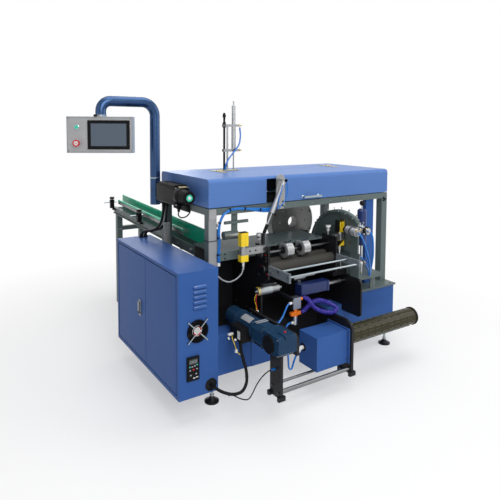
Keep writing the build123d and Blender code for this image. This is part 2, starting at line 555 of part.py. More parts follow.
def build_unwinder():
    left = plate_yz(LEFT_X, PLATE_U, (
        (-310, 375), (-310, 480), (BASE_Y0, 480), (BASE_Y0, 300), (-85, 300), (-85, UNW_Z0),
        (UNW_Y0, UNW_Z0), (UNW_Y0, 375)), ((1, 40),))
    right = plate_yz(RIGHT_X, PLATE_U, (
        (UNW_Y0, UNW_Z0), (UNW_Y0, 395), (230, 395), (230, BASE_LOW + SHEET), (BASE_Y0 - SHEET, BASE_LOW + SHEET),
        (BASE_Y0 - SHEET, 200), (-40, 200), (-85, 150), (-85, UNW_Z0)), ((1, 55),))
    # shoes at the foot of each plate
    for x in (LEFT_X, RIGHT_X):
        shoe = block(x - 14, x + PLATE_U + 14, UNW_Y0 - 6, UNW_Y0 + 12, UNW_Z0 - 8, UNW_Z0 + 16)
        shoe += block(x - 14, x + PLATE_U + 14, -97, -79, UNW_Z0 - 8, UNW_Z0 + 16)
        left = left + shoe if x == LEFT_X else left
        right = right + shoe if x == RIGHT_X else right
    bars = rod_x(LEFT_X + PLATE_U, RIGHT_X, -160, 118, 12) + rod_x(LEFT_X + PLATE_U, RIGHT_X, -108, 140, 8)
    parts["tie_bars"] = bars
    box = block(760, RIGHT_X - 8, -150, 5, 150, 340)
    box += block(RIGHT_X - 8, RIGHT_X, -166, 21, 150, 350)
    box -= rod_x(759, 762, -30, 250, 22)
    # mandrel: lacquered tube with eight raised lugs and a rounded end ring
    shaft = rod_x(RIGHT_X + PLATE_U + GAP + 4, MANDREL_END - 14, MANDREL_Y, MANDREL_Z, MANDREL_R)
    end = rod_x(MANDREL_END - 16, MANDREL_END, MANDREL_Y, MANDREL_Z, MANDREL_R + 5)
    shaft += fillet(end.faces().sort_by(Axis.X)[-1].edges(), 7)
    shaft += rod_x(RIGHT_X - 4, RIGHT_X + PLATE_U + GAP + 5, MANDREL_Y, MANDREL_Z, 20)
    for index in range(8):
        lug = block(RIGHT_X + 60, MANDREL_END - 50, -7, 7, MANDREL_R - 4, MANDREL_R + 3)
        shaft += Pos(0, MANDREL_Y, MANDREL_Z) * Rot(22.5 + index * 45, 0, 0) * lug
    parts["mandrel"] = shaft
    journal = rod_x(RIGHT_X - 5, RIGHT_X + PLATE_U + 1, MANDREL_Y, MANDREL_Z, 20 + RUN)
    parts["unwinder_plates"] = left + (right - journal)
    parts["brake_box"] = box - journal
    # right-angle gearmotor on the left plate: gearbox with a round cap, second stage and ribbed motor
    gearbox = block(380, LEFT_X, -310, -160, 388, 484)
    gearbox = chamfer(gearbox.edges().filter_by(Axis.X), 14)
    stage = block(384, 486, -160, -60, 376, 486)
    gearbox += chamfer(stage.edges().filter_by(Axis.Y), 24)
    gearbox += rod_x(372, 380, -228, 430, 45)
    motor = rod_y(-60, 208, 435, 432, 50)
    for y in (-52, 110):
        motor += rod_y(y, y + 10, 435, 432, 54)
    parts["unwinder_gearmotor"] = gearbox + motor
    parts["terminal_box"] = block(340, 402, -38, 77, 370, 441) - motor


def build_details():
    # aluminium swing plate with the tilted air cylinder
    plate = block(712, 774, 176, 184, 1030, 1190) + rod_y(176, 184, 743, 1190, 31)
    plate += block(720, 766, 184, FRAME_Y0, 1016, 1044)
    plate += block(720, 766, 176, 184, 1016, 1044)
    parts["cylinder_plate"] = plate
    top = Vector(743, 140, 1190)
    low = Vector(600, 140, 893)
    along = (low - top).normalized()

    def piece(start, stop, radius):
        a = top + along * start
        return extrude(Plane(origin=a, z_dir=along) * Circle(radius), stop - start)

    barrel = piece(12, 205, 14)
    barrel += piece(0, 14, 11)
    barrel += rod_y(128, 176, 743, 1190, 6)
    total = (low - top).length
    parts["tilted_cylinder"] = barrel + piece(204, 275, 5) + piece(275, total, 10)
    # standing air cylinder on the cover
    unit_y = 650
    stand = block(600, 730, unit_y - 26, unit_y + 22, COVER_Z1, COVER_Z1 + 6)
    for x, z1, radius in ((632, 1566, 7), (656, 1517, 6)):
        stand += rod_z(COVER_Z1 + 5, z1, x, unit_y, radius)
    for z in (1508, 1345):
        stand += block(622, 740, unit_y - 10, unit_y + 10, z - 8, z + 8)
    barrel = rod_z(1353, 1500, 703, unit_y, 15) + rod_z(1516, 1638, 703, unit_y, 13)
    barrel += rod_z(1638, 1669, 703, unit_y, 5) + rod_z(COVER_Z1 + 6, 1337, 703, unit_y, 5)
    parts["standing_cylinder"] = stand + barrel
    # sensors in two yellow halves on a bar, oil cups and steel brackets
    sensors = None
    for x0, x1, bar0, bar1 in ((SENSOR_L - 47, SENSOR_L, SENSOR_L, SIDE_L),
                               (SENSOR_R, SENSOR_R + 46, SIDE_R + PLATE, SENSOR_R)):
        unit = block(x0, x1, 100, 135, 843, 918) + block(x0, x1, 100, 135, 757, 792)
        unit += rod_z(780, 850, (x0 + x1) / 2, 117, 15)
        unit += block(bar0, bar1, 104, 130, 792, 832)
        unit += block(x0 + 4, x1, 104, 130, 792, 832)
        sensors = unit if sensors is None else sensors + unit
    parts["sensors"] = sensors
    cups = None
    for x, y in ((SIDE_L + 6, 180), (SIDE_R + 6, 160)):
        cup = rod_z(SIDE_TOP, SIDE_TOP + 16, x, y, 4)
        cup += Pos(x, y, SIDE_TOP + 30) * Cone(5, 15, 28)
        cup += rod_z(SIDE_TOP + 44, SIDE_TOP + 62, x, y, 15)
        cups = cup if cups is None else cups + cup
    parts["oil_cups"] = cups
    hanger = block(440, 475, 226, 238, 885, COVER_Z0 - RAIL_H)
    hanger += block(385, 540, 212, 226, 952, 968)
    hanger += rod_x(385, 475, 232, 885, 24)
    bracket = block(CAB_W, CAB_W + 42, 690, 696, 740, 901)
    bracket += block(CAB_W, CAB_W + 4, 674, 714, 730, 784)
    bracket += block(FRAME_X0 + 2, FRAME_X0 + POST - 4, FRAME_Y0 - SHEET, FRAME_Y0, 985, COVER_Z0 - 2)
    parts["steel_brackets"] = hanger + bracket
    # drive on the left end of the frame
    drive = block(175, 265, 420, 690, 1045, 1152)
    drive = chamfer(drive.edges().filter_by(Axis.Y), 8)
    drive += block(180, 260, 440, 670, 1152, 1160)
    drive += rod_y(385, 420, 205, 1104, 46) + rod_y(300, 386, 205, 1104, 38)
    drive += rod_y(292, 300, 205, 1104, 19)
    drive += block(265, FRAME_X0, 430, 640, 1000, 1049)
    parts["feed_drive"] = drive
    # inner drives
    motor_x = SIDE_L - 48
    gear_x = motor_x + 100
    shaft_x = gear_x + 50
    motor = rod_x(motor_x, gear_x, 122, 567, 24) + rod_x(gear_x, shaft_x, 122, 567, 21)
    motor += rod_x(shaft_x, shaft_x + 22, 122, 567, 7)
    motor += block(SIDE_L + PLATE, shaft_x, 142, 160, 548, 590)
    parts["roller_motor"] = motor
    push = rod_x(824, 1040, 100, 535, 30)
    for x in (824, 1026):
        push += block(x, x + 14, 68, 132, 503, 567)
    neck_x = BASE_SPLIT - PLATE - 40
    push += rod_x(1040, neck_x, 100, 535, 13) + rod_x(neck_x, BASE_SPLIT - PLATE, 100, 535, 6)
    push += block(860, 900, 120, WALL_Y, 505, 535)
    push += rod_x(819, 903, 150, 590, 17) + rod_x(903, 990, 150, 590, 5)
    push += block(850, 872, 138, 162, 534, 580)
    parts["push_cylinder"] = push


# ends of hoses and cables on their fittings
PLUGS = ((-142, 310), (-32, 440), (10, 400))
PLUG_X = LEFT_X + PLATE_U + 18
LOOM_Z = 747
COIL_START = 806
COIL_END = 818


def build_air():
    """Valves, fittings, hoses and cables."""
    # two silver cylinders on the folding disc, their bar, and the tall air cylinder on the shelf
    valves = block(BASE_SPLIT, BASE_SPLIT + 16, -4, 90, 845, 880)
    a = Vector(BASE_SPLIT + 42, 150, 884)
    b = Vector(BASE_SPLIT + 42, -41, 862)
    along = (b - a).normalized()
    for start, stop, radius in ((0, 70, 25), (70, 84, 29), (84, 176, 26), (176, 192, 20)):
        valves += extrude(Plane(origin=a + along * start, z_dir=along) * Circle(radius), stop - start)
    head_x = BASE_SPLIT + 28
    valves += rod_x(BASE_SPLIT, head_x, 117, 812, 8) + rod_x(head_x, head_x + 22, 117, 812, 14)
    valves += block(head_x, head_x + 22, 100, 134, 810, 862)
    tall_x = BASE_SPLIT + 128
    tall = rod_z(SHELF_Z, 740, tall_x, 100, 9) + rod_z(740, 975, tall_x, 100, 22)
    tall += rod_z(975, 1004, tall_x, 100, 4) + Pos(tall_x, 100, 1014) * Sphere(13)
    # valve block on its arm with a tee below, elbow on the brake box, plugs on the left plate
    manifold = block(745, 800, 44, 84, 445, 512) + rod_x(800, COIL_END, 56, 497, 8)
    manifold += block(764, 780, 84, WALL_Y, 480, 500)
    manifold += rod_z(400, 446, 772, 62, 11) + block(738, COIL_START, 52, 72, 405, 425)
    manifold += rod_z(350, 400, 772, 62, 15)
    elbow = rod_x(742, 762, -30, 250, 8)
    ends = None
    for y, z in PLUGS:
        end = rod_x(LEFT_X + PLATE_U, PLUG_X, y, z, 7)
        ends = end if ends is None else ends + end
    ends += block(FRAME_X0 + POST, 340, FRAME_Y0 - 14, FRAME_Y0 + 4, 728, LOOM_Z)
    parts["air_valves"] = valves + tall + manifold + elbow + ends
    y, z = PLUGS[0]
    hoses = hose(((742, -30, 250), (706, -30, 250), (674, -52, 228), (645, -84, 202), (612, -112, 194),
                  (582, -130, 216), (570, -140, 258), (562, -142, 300), (PLUG_X + 4, y, z), (PLUG_X, y, z)), 4)
    y, z = PLUGS[1]
    hoses += hose(((757, 62, 362), (724, 62, 362), (690, 46, 352), (652, 24, 358), (618, 4, 384),
                   (588, -16, 418), (560, y, z), (PLUG_X, y, z)), 4)
    y, z = PLUGS[2]
    hoses += hose(((745, 62, 480), (722, 62, 480), (698, 54, 458), (670, 44, 424), (632, 30, 402),
                   (594, 16, 396), (560, y, z), (PLUG_X, y, z)), 4)
    x = FRAME_X0 + POST + 7
    y = FRAME_Y0 - 8
    hoses += hose(((x, y, LOOM_Z), (x, y, 800), (x + 3, y, 858), (x, y, 916), (x + 8, y, 970), (x + 32, y, 1014),
                   (x + 78, y, 1036), (x + 134, y, 1040), (x + 190, y - 2, 1034), (x + 246, y - 6, 1026),
                   (x + 302, y - 10, 1020), (x + 346, 180, 1024), (720, 180, 1024)), 6)
    hoses += hose((tuple(b), tuple(b + along * 30), (1260, -94, 834), (1268, -104, 790), (1284, -98, 740),
                   (1306, -76, 692), (1332, -38, 650), (1352, 6, 616), (1360, 40, 584), (1360, 40, SHELF_Z)), 4)
    hoses += hose(((head_x + 11, 117, 798), (head_x + 11, 117, 766), (1268, 98, 722), (1294, 68, 680), (1328, 46, 642),
                   (1362, 48, 608), (1382, 70, 584), (1382, 70, SHELF_Z)), 4)
    parts["air_hoses"] = hoses
    # cables: bundle out of the cabinet, thin cable on it, conduits of the drive, leads of the left sensor
    cables = hose(((180, 4, 181), (180, -30, 181), (205, -66, 164), (252, -94, 148), (305, -104, 150),
                   (342, -90, 184), (354, -66, 236), (352, -34, 284), (352, -10, 330), (352, -10, 370)), 8)
    cables += hose(((252, -94, 148), (292, -118, 124), (326, -130, 116), (346, -134, 144), (372, -134, 186),
                    (408, -132, 218), (450, -130, 236), (LEFT_X, -130, 236)), 3)
    for x, far, y0 in ((236, 172, 664), (206, 144, 650)):
        cables += hose(((x, y0, 1045), (x, y0, 1010), (x + 8, y0 + 34, 958), (x + 14, 724, 900), (x + 2, 758, 856),
                        (x - 24, 800, 836), (far + 2, 846, 826), (far, 872, 806), (far, 872, CAB_TOP)), 8)
    cables += hose(((446.5, 117, 757), (446.5, 117, 728), (428, 98, 696), (378, 78, 676), (322, 64, 672),
                    (276, 58, 696), (250, 56, 722), (CAB_W, 56, 722)), 3.5)
    cables += hose(((CAB_W, 70, 700), (240, 70, 700), (252, 84, 660), (256, 92, 600), (262, 104, 530),
                    (264, 124, 466), (264, 145, 410), (264, 145, BASE_LOW)), 3.5)
    parts["cables"] = cables
    # coiled hose as one fat tube from the tee out to the right and back
    parts["coiled_hose"] = hose(((COIL_START, 62, 415), (828, 62, 415), (848, 48, 440), (878, 38, 466), (920, 28, 474),
                                 (966, 18, 460), (1008, 6, 438), (1028, -14, 420), (1000, -26, 408),
                                 (952, -22, 410), (908, -8, 424), (872, 16, 448), (858, 42, 482),
                                 (840, 56, 497), (COIL_END, 56, 497)), 8)


build_cover()
build_frame()
build_base()
build_cabinet()
build_pole()
build_panel(build_arm())
build_conveyor()
build_bed()
build_discs()
build_unwinder()
build_details()
build_air()

lows = [shape.bounding_box().min for shape in parts.values()]
highs = [shape.bounding_box().max for shape in parts.values()]
centre_x = (min(p.X for p in lows) + max(p.X for p in highs)) / 2
centre_y = (min(p.Y for p in lows) + max(p.Y for p in highs)) / 2
print("origin of the row in modelling coordinates:", round(centre_x, 3), round(centre_y, 3))
os.makedirs("parts", exist_ok=True)
for name, shape in parts.items():
    export_step(Pos(-centre_x, -centre_y, 0) * shape, f"parts/{name}.step")
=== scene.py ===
import math

import bmesh
import bpy
from mathutils import Matrix, Vector


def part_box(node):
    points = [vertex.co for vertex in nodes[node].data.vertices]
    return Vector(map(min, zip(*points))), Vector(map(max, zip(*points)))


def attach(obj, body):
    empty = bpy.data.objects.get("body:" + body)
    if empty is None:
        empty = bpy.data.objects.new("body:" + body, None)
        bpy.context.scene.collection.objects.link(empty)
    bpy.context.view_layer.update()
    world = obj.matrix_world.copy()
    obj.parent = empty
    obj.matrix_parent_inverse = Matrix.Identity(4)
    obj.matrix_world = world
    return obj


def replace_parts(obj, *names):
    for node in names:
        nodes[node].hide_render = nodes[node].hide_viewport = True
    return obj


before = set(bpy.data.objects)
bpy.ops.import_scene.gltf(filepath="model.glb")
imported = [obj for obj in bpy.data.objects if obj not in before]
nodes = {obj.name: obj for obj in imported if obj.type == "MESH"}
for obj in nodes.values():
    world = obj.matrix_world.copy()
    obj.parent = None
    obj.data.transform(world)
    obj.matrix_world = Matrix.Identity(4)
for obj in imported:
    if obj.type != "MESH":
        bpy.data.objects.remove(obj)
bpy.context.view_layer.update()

# Camera: a 36 mm lens fitted to the photograph, 1.5 m up, off the machine's front left corner.
# Places are in millimetres from the front left corner of the electric cabinet, at the floor: x along the
# machine, y towards the back, z up.
CABINET_DEPTH = 0.918
cabinet_low, cabinet_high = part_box("cabinet_body")
corner = Vector((cabinet_low.x, cabinet_high.y - CABINET_DEPTH, 0.0))


def at(x, y, z):
    return corner + Vector((x, y, z)) / 1000


EYE = (-1013.76, -2193.17, 1500)
PHOTO_WIDTH = 500
FOCAL_PIXELS = 501.447
HORIZON_SHIFT = -90
FILM_WIDTH = 36.0
YAW, PITCH, ROLL = 0.57631, 0.06607, -0.00508
lens = bpy.data.cameras.new("photo_camera")
lens.sensor_width = FILM_WIDTH
lens.lens = FILM_WIDTH * FOCAL_PIXELS / PHOTO_WIDTH
lens.shift_y = HORIZON_SHIFT / PHOTO_WIDTH
lens.clip_start = 0.05
camera = bpy.data.objects.new("photo_camera", lens)
bpy.context.scene.collection.objects.link(camera)
bpy.context.scene.camera = camera
ahead = Vector((math.sin(YAW), math.cos(YAW), 0))
right = Vector((math.cos(YAW), -math.sin(YAW), 0))
down = Vector((0, 0, -1))
ahead, down = (ahead * math.cos(PITCH) + down * math.sin(PITCH),
               down * math.cos(PITCH) - ahead * math.sin(PITCH))
right, down = (right * math.cos(ROLL) + down * math.sin(ROLL),
               down * math.cos(ROLL) - right * math.sin(ROLL))
turn = Matrix((right, -down, -ahead)).transposed().to_4x4()
camera.matrix_world = Matrix.Translation(at(*EYE)) @ turn

# Studio: five large soft lamps round the machine, a white surround, and a pale floor that runs out into
# white. Rays that light the machine see a dimmer surround than the camera and the glossy surfaces do.
LAMPS_AIM = at(800, 500, 700)


def lamp(name, place, size, power):
    data = bpy.data.lights.new(name, "AREA")
    data.energy = power
    data.size = size
    obj = bpy.data.objects.new(name, data)
    bpy.context.scene.collection.objects.link(obj)
    obj.location = place
    obj.rotation_euler = (LAMPS_AIM - place).to_track_quat("-Z", "Y").to_euler()


lamp("front_lamp", at(-200, -3700, 3200), 3.0, 118)
lamp("left_lamp", at(-3300, 300, 2100), 2.4, 6)
lamp("top_lamp", at(900, 300, 4300), 3.4, 92)
lamp("right_lamp", at(4300, -1500, 2200), 2.4, 36)
lamp("back_lamp", at(1200, 4600, 2400), 2.4, 34)
bpy.context.scene.view_settings.view_transform = "Standard"


class Socket:
    """A node socket that takes part in Python expressions; each operator adds a Math node."""

    def __init__(self, tree, out):
        self.tree = tree
        self.out = out

    def math(self, operation, *others):
        node = self.tree.nodes.new("ShaderNodeMath")
        node.operation = operation
        for socket, value in zip(node.inputs, (self, *others)):
            put(self.tree, socket, value)
        return Socket(self.tree, node.outputs[0])

    def __add__(self, other):
        return self.math("ADD", other)

    def __mul__(self, other):
        return self.math("MULTIPLY", other)

    def __sub__(self, other):
        return self.math("SUBTRACT", other)

    def __rsub__(self, other):
        return self.math("MULTIPLY", -1).math("ADD", other)

    def __truediv__(self, other):
        return self.math("DIVIDE", other)

    __radd__ = __add__
    __rmul__ = __mul__

    def clamped(self):
        """Held between 0 and 1."""
        node = self.tree.nodes.new("ShaderNodeClamp")
        put(self.tree, node.inputs[0], self)
        return Socket(self.tree, node.outputs[0])


def put(tree, socket, value):
    """Links a Socket to a node's socket, or sets the value on it."""
    if isinstance(value, Socket):
        tree.links.new(value.out, socket)
    elif value is not None:
        if isinstance(value, (tuple, list)) and len(value) == 3 and socket.type == "RGBA":
            value = (*value, 1.0)
        socket.default_value = value


class Network:
    """A node tree being built, with one method that adds any node."""

    def __init__(self, tree):
        self.tree = tree

    def node(self, kind, settings=None, out=0, **values):
        """Adds a node with its settings first; values go to sockets by name, or by number as _0."""
        node = self.tree.nodes.new(kind)
        for key, value in (settings or {}).items():
            setattr(node, key, value)
        for key, value in values.items():
            place = int(key[1:]) if key[0] == "_" else key.replace("_", " ")
            put(self.tree, node.inputs[place], value)
        return Socket(self.tree, node.outputs[out]) if node.outputs else None

    def mix(self, factor, a, b):
        return self.node("ShaderNodeMix", {"data_type": "RGBA"}, 2, _0=factor, _6=a, _7=b)

    def seen(self):
        """1 on rays of the camera, of gloss and of glass, 0 on rays that light the machine."""
        rays = [self.node("ShaderNodeLightPath", None, out) for out in (0, 3, 6)]
        return (rays[0] + rays[1] + rays[2]).clamped()


class Finish(Network):
    """A material of the machine, built on its Principled shader."""

    def __init__(self, name):
        self.material = bpy.data.materials.new(name)
        self.material.use_nodes = True
        super().__init__(self.material.node_tree)
        self.shader = self.tree.nodes["Principled BSDF"]

    def place(self):
        """Places on the piece itself, so that a finish keeps to it as it moves."""
        return self.node("ShaderNodeTexCoord", None, 3)

    def noise(self, scale, detail=4.0, rough=0.55, place=None):
        return self.node("ShaderNodeTexNoise", Vector=place or self.place(), Scale=scale, Detail=detail,
                         Roughness=rough)

    def edge_mask(self, width=0.004):
        """1 on outer edges, 0 elsewhere."""
        soft = self.node("ShaderNodeBevel", {"samples": 4}, Radius=width)
        flat = self.node("ShaderNodeNewGeometry", None, 1)
        same = self.node("ShaderNodeVectorMath", {"operation": "DOT_PRODUCT"}, 1, _0=soft, _1=flat)
        return (1 - same) * 4.0

    def bump(self, height, strength=0.2, distance=0.001, soft=None):
        return self.node("ShaderNodeBump", Height=height, Strength=strength, Distance=distance, Normal=soft)

    def rounded(self, radius):
        """A normal that rounds off the edges, as on cast, folded and moulded pieces."""
        return self.node("ShaderNodeBevel", {"samples": 4}, Radius=radius)

    def set(self, **values):
        for key, value in values.items():
            put(self.tree, self.shader.inputs[key.replace("_", " ")], value)
        return self


world = bpy.data.worlds.new("studio")
bpy.context.scene.world = world
world.use_nodes = True
sky = Network(world.node_tree)
world.node_tree.nodes.clear()
soft_light = sky.node("ShaderNodeBackground", Color=(0.94, 0.96, 1.0), Strength=0.24)
white = sky.node("ShaderNodeBackground", Color=(1, 1, 1), Strength=1.0)
sky.node("ShaderNodeOutputWorld", Surface=sky.node("ShaderNodeMixShader", _0=sky.seen(), _1=soft_light,
                                                   _2=white))

FLOOR_REACH = 14.0
WHITE_FROM, WHITE_OVER = 1.2, 1.4
floor_mesh = bpy.data.meshes.new("floor")
FLOOR_CORNERS = ((-1, -1), (1, -1), (1, 1), (-1, 1))
floor_mesh.from_pydata([(x * FLOOR_REACH, y * FLOOR_REACH, 0) for x, y in FLOOR_CORNERS], [], [(0, 1, 2, 3)])
floor = bpy.data.objects.new("floor", floor_mesh)
bpy.context.scene.collection.objects.link(floor)
floor_paint = Finish("floor_pale")
floor_paint.set(Base_Color=(0.93, 0.93, 0.93), Roughness=0.8, Specular_IOR_Level=0.1)
away = floor_paint.node("ShaderNodeVectorMath", {"operation": "LENGTH"}, 1, _0=floor_paint.place())
glow = floor_paint.node("ShaderNodeEmission", Color=(1, 1, 1), Strength=1.0)
lit = Socket(floor_paint.tree, floor_paint.shader.outputs[0])
whiter = 0.45 + 0.55 * ((away - WHITE_FROM) / WHITE_OVER).clamped()
floor_look = floor_paint.node("ShaderNodeMixShader", _0=whiter * floor_paint.seen(), _1=lit, _2=glow)
put(floor_paint.tree, floor_paint.tree.nodes["Material Output"].inputs["Surface"], floor_look)
floor_mesh.materials.append(floor_paint.material)


# Top cover: folded steel sheet in light blue enamel, the rear half screwed to the frame and the front half
# hung on two strap hinges of zinc-plated steel, with a chromed pull handle.
def enamel(name, shade, dark, light, gloss=0.32, peel=0.08, edge=0.0015, shine=0.2, coat=0.0):
    """Sprayed paint: the colour drifts a little, with a fine orange peel; thin edges are rougher where rubbed
    and carry a painted highlight.
    """
    paint = Finish(name)
    colour = paint.mix(paint.noise(3.0, 3.0).clamped(), dark, light)
    colour = paint.mix(0.5, colour, shade)
    rough = paint.noise(22.0, 5.0, 0.7) * 0.16 + (gloss - 0.08)
    worn_and_lit_edges = (paint.edge_mask(0.0025) * paint.noise(140.0, 3.0)).clamped()
    # Edges are painted lighter in the paint's own hue, in patches like wear: a painted highlight. The extra
    # roughness on them is the real rubbing.
    colour = paint.mix(worn_and_lit_edges * 0.4, colour, tuple(min(1, c * 1.8 + 0.05) for c in shade))
    height = paint.noise(900.0, 2.0) * 0.12 + paint.noise(4.0, 1.0) * 1.5
    paint.set(Base_Color=colour, Roughness=rough + worn_and_lit_edges * 0.1, Specular_IOR_Level=shine, Coat_Weight=coat,
              Coat_Roughness=0.12, Normal=paint.bump(height, peel, 0.002, paint.rounded(edge)))
    return paint.material


def bright(name, shade, rough=0.3, lines=(60, 60, 60), metal=1.0, spots=0.08):
    """Turned, ground or rolled metal: fine lines along the work and faint stains."""
    steel = Finish(name)
    stretched = steel.node("ShaderNodeMapping", Vector=steel.place(), Scale=lines)
    streak = steel.noise(1.0, 4.0, 0.6, stretched)
    stain = steel.noise(9.0, 4.0)
    colour = steel.mix((stain * streak * 1.6).clamped(), tuple(c * 0.72 for c in shade), shade)
    steel.set(Base_Color=colour, Metallic=metal, Roughness=streak * 0.2 + (rough - 0.08) + stain * spots,
              Normal=steel.bump(streak, 0.06, 0.0006, steel.rounded(0.0006)))
    return steel.material


def dress(finish, *names):
    """Puts one finish on whole CAD nodes."""
    for name in names:
        mesh = nodes[name].data
        mesh.materials.clear()
        mesh.materials.append(finish)


def tint(name, finish, inside):
    """Puts a finish on the faces of a CAD node whose middle, in millimetres, passes the test."""
    mesh = nodes[name].data
    mesh.materials.append(finish)
    slot = len(mesh.materials) - 1
    for face in mesh.polygons:
        if inside((face.center - corner) * 1000):
            face.material_index = slot


def smooth_line(points, fine):
    """Places along a smooth line through the points, so many to a span, up to its last point."""
    stops = [Vector(point) for point in points]
    stops = [stops[0] * 2 - stops[1], *stops, stops[-1] * 2 - stops[-2]]
    line = []
    for a, b, c, d in zip(stops, stops[1:], stops[2:], stops[3:]):
        for step in range(fine):
            t = step / fine
            line.append(0.5 * (2 * b + (c - a) * t + (2 * a - 5 * b + 4 * c - d) * t * t
                               + (3 * b - a - 3 * c + d) * t ** 3))
    return line


class Shape:
    """A mesh put together from turned, square and bent pieces, in the machine's millimetres."""

    def __init__(self):
        self.mesh = bmesh.new()

    def ring(self, centre, side, other, radius, sides):
        """The corners of a round section, across side and other."""
        return [self.mesh.verts.new(centre + (side * math.cos(step * 2 * math.pi / sides)
                                              + other * math.sin(step * 2 * math.pi / sides)) * radius)
                for step in range(sides)]

    def skin(self, rings, closed=False):
        """Faces from ring to ring, with end caps, or joined end to end if closed."""
        pairs = list(zip(rings, rings[1:])) + ([(rings[-1], rings[0])] if closed else [])
        for a, b in pairs:
            for step in range(len(a)):
                after = (step + 1) % len(a)
                self.mesh.faces.new((a[step], a[after], b[after], b[step]))
        if not closed:
            self.mesh.faces.new(rings[0][::-1])
            self.mesh.faces.new(rings[-1])

    def strip(self, low_edge, high_edge):
        """A row of faces between two rows of places."""
        low, high = ([self.mesh.verts.new(spot) for spot in edge] for edge in (low_edge, high_edge))
        for corners in zip(low, low[1:], high[1:], high):
            self.mesh.faces.new(corners)
        return self

    def turned(self, start, toward, profile, sides=16):
        """A turned piece: profile gives (distance along the axis, radius) from the start."""
        axis = Vector(toward).normalized()
        side = axis.orthogonal().normalized()
        other = axis.cross(side)
        self.skin([self.ring(Vector(start) + axis * along, side, other, max(radius, 0.02), sides)
                   for along, radius in profile])
        return self

    def slab(self, low, high, spin=0.0, about=None):
        """A block between two corners, turned about the upright axis if spin is given."""
        middle = (Vector(low) + Vector(high)) / 2
        size = Vector(high) - Vector(low)
        around = Vector(about) if about else middle
        for vert in bmesh.ops.create_cube(self.mesh, size=1.0)["verts"]:
            spot = Vector((vert.co.x * size.x, vert.co.y * size.y, vert.co.z * size.z)) + middle
            vert.co = Matrix.Rotation(spin, 3, "Z") @ (spot - around) + around
        return self

    def bent(self, points, radius, sides=8, fine=6):
        """A round wire or hose on a smooth line through the points."""
        return self.along([*smooth_line(points, fine), Vector(points[-1])], radius, sides)

    def along(self, line, radius, sides=8):
        """A round wire through every place of a line."""
        side = (line[1] - line[0]).orthogonal().normalized()
        rings = []
        for place, spot in enumerate(line):
            way = (line[min(place + 1, len(line) - 1)] - line[max(place - 1, 0)]).normalized()
            side = (side - way * side.dot(way)).normalized()
            rings.append(self.ring(spot, side, way.cross(side), radius, sides))
        self.skin(rings)
        return self

    def screws(self, places, toward, size=4.0):
        """Socket-head screws of a given head radius."""
        for place in places:
            self.turned(place, toward, ((0, size), (size * 0.9, size), (size * 1.05, size * 0.88),
                                        (size * 1.05, size * 0.5), (size * 0.4, size * 0.45)), 12)
        return self

    def hexes(self, places, toward, size=5.5):
        """Hexagon bolts on their washers, by half the width across corners."""
        for place in places:
            self.turned(place, toward, ((0, size * 1.25), (size * 0.25, size * 1.25)), 16)
            self.turned(Vector(place) + Vector(toward).normalized() * size * 0.25, toward,
                        ((0, size), (size * 0.75, size), (size * 0.9, size * 0.85)), 6)
        return self

    def done(self, name, finish, body="machine", bevel=0.0):
        """Makes the object in its place, in its finish, riding on its CAD body."""
        for vert in self.mesh.verts:
            vert.co = at(*vert.co)
        bmesh.ops.recalc_face_normals(self.mesh, faces=self.mesh.faces)
        data = bpy.data.meshes.new(name)
        self.mesh.to_mesh(data)
        self.mesh.free()
        data.materials.append(finish)
        for face in data.polygons:
            face.use_smooth = True
        data.set_sharp_from_angle(angle=math.radians(35))
        obj = bpy.data.objects.new(name, data)
        bpy.context.scene.collection.objects.link(obj)
        if bevel:
            rounding = obj.modifiers.new("edge", "BEVEL")
            rounding.width = bevel / 1000
            rounding.segments = 2
            rounding.limit_method = "ANGLE"
        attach(obj, body)
        return obj


UP, FRONT, BACK = (0, 0, 1), (0, -1, 0), (0, 1, 0)
ALONG_X = (14, 900, 900)
cover_blue = enamel("cover_blue", (0.095, 0.195, 0.470), (0.086, 0.180, 0.445), (0.105, 0.212, 0.498),
                    0.34, 0.06, 0.0015, 0.12)
zinc = bright("yellow_zinc", (0.60, 0.52, 0.30), 0.30)
chrome = bright("chromed_rod", (0.46, 0.53, 0.56), 0.12, ALONG_X, 1.0, 0.04)
ground = bright("ground_steel", (0.42, 0.43, 0.44), 0.28, ALONG_X)
HINGES = (566, 1494)
SEAM_Y = 605
HINGE_TOP = 1215
HINGE_RIVET = ((0, 3.6), (1.2, 2.6), (1.4, 0.5))
HANDLE_FEET = (931, 1053)
REAR_Y = 845
dress(cover_blue, "cover_lid", "cover_rear")
dress(zinc, "hinge_fixed_leaves", "hinge_lid_leaves")
dress(chrome, "lid_handle")
rear_heads, lid_heads = Shape(), Shape()
for x in HINGES:
    for along in (28, 55, 82):
        for across in (-9, 9):
            rear_heads.turned((x + across, SEAM_Y + along, HINGE_TOP), UP, HINGE_RIVET, 10)
            lid_heads.turned((x + across, SEAM_Y - along, HINGE_TOP), UP, HINGE_RIVET, 10)
rear_heads.screws([(x, REAR_Y, 1068) for x in range(330, 1680, 188)], BACK, 4.2)
rear_heads.done("rear_cover_screws", ground)
lid_heads.done("lid_hinge_screws", ground, "cover_lid_body")
handle = Shape()
for x in HANDLE_FEET:
    handle.turned((x, 201, 1073), FRONT, ((0, 9), (1.6, 9), (2.4, 7), (4, 4.5)))
handle.done("handle_rosettes", chrome, "cover_lid_body")

# Electric cabinet: welded sheet in mid blue enamel with pressed louvres, two doors behind a folded lip, a
# cooling fan behind a wire guard, a drive keypad of black plastic and a rubber-edged cable hole.
LEFT, RIGHT = (-1, 0, 0), (1, 0, 0)
body_blue = enamel("body_blue", (0.040, 0.108, 0.330), (0.035, 0.098, 0.306), (0.046, 0.120, 0.358),
                   0.34, 0.06, 0.0015, 0.05)


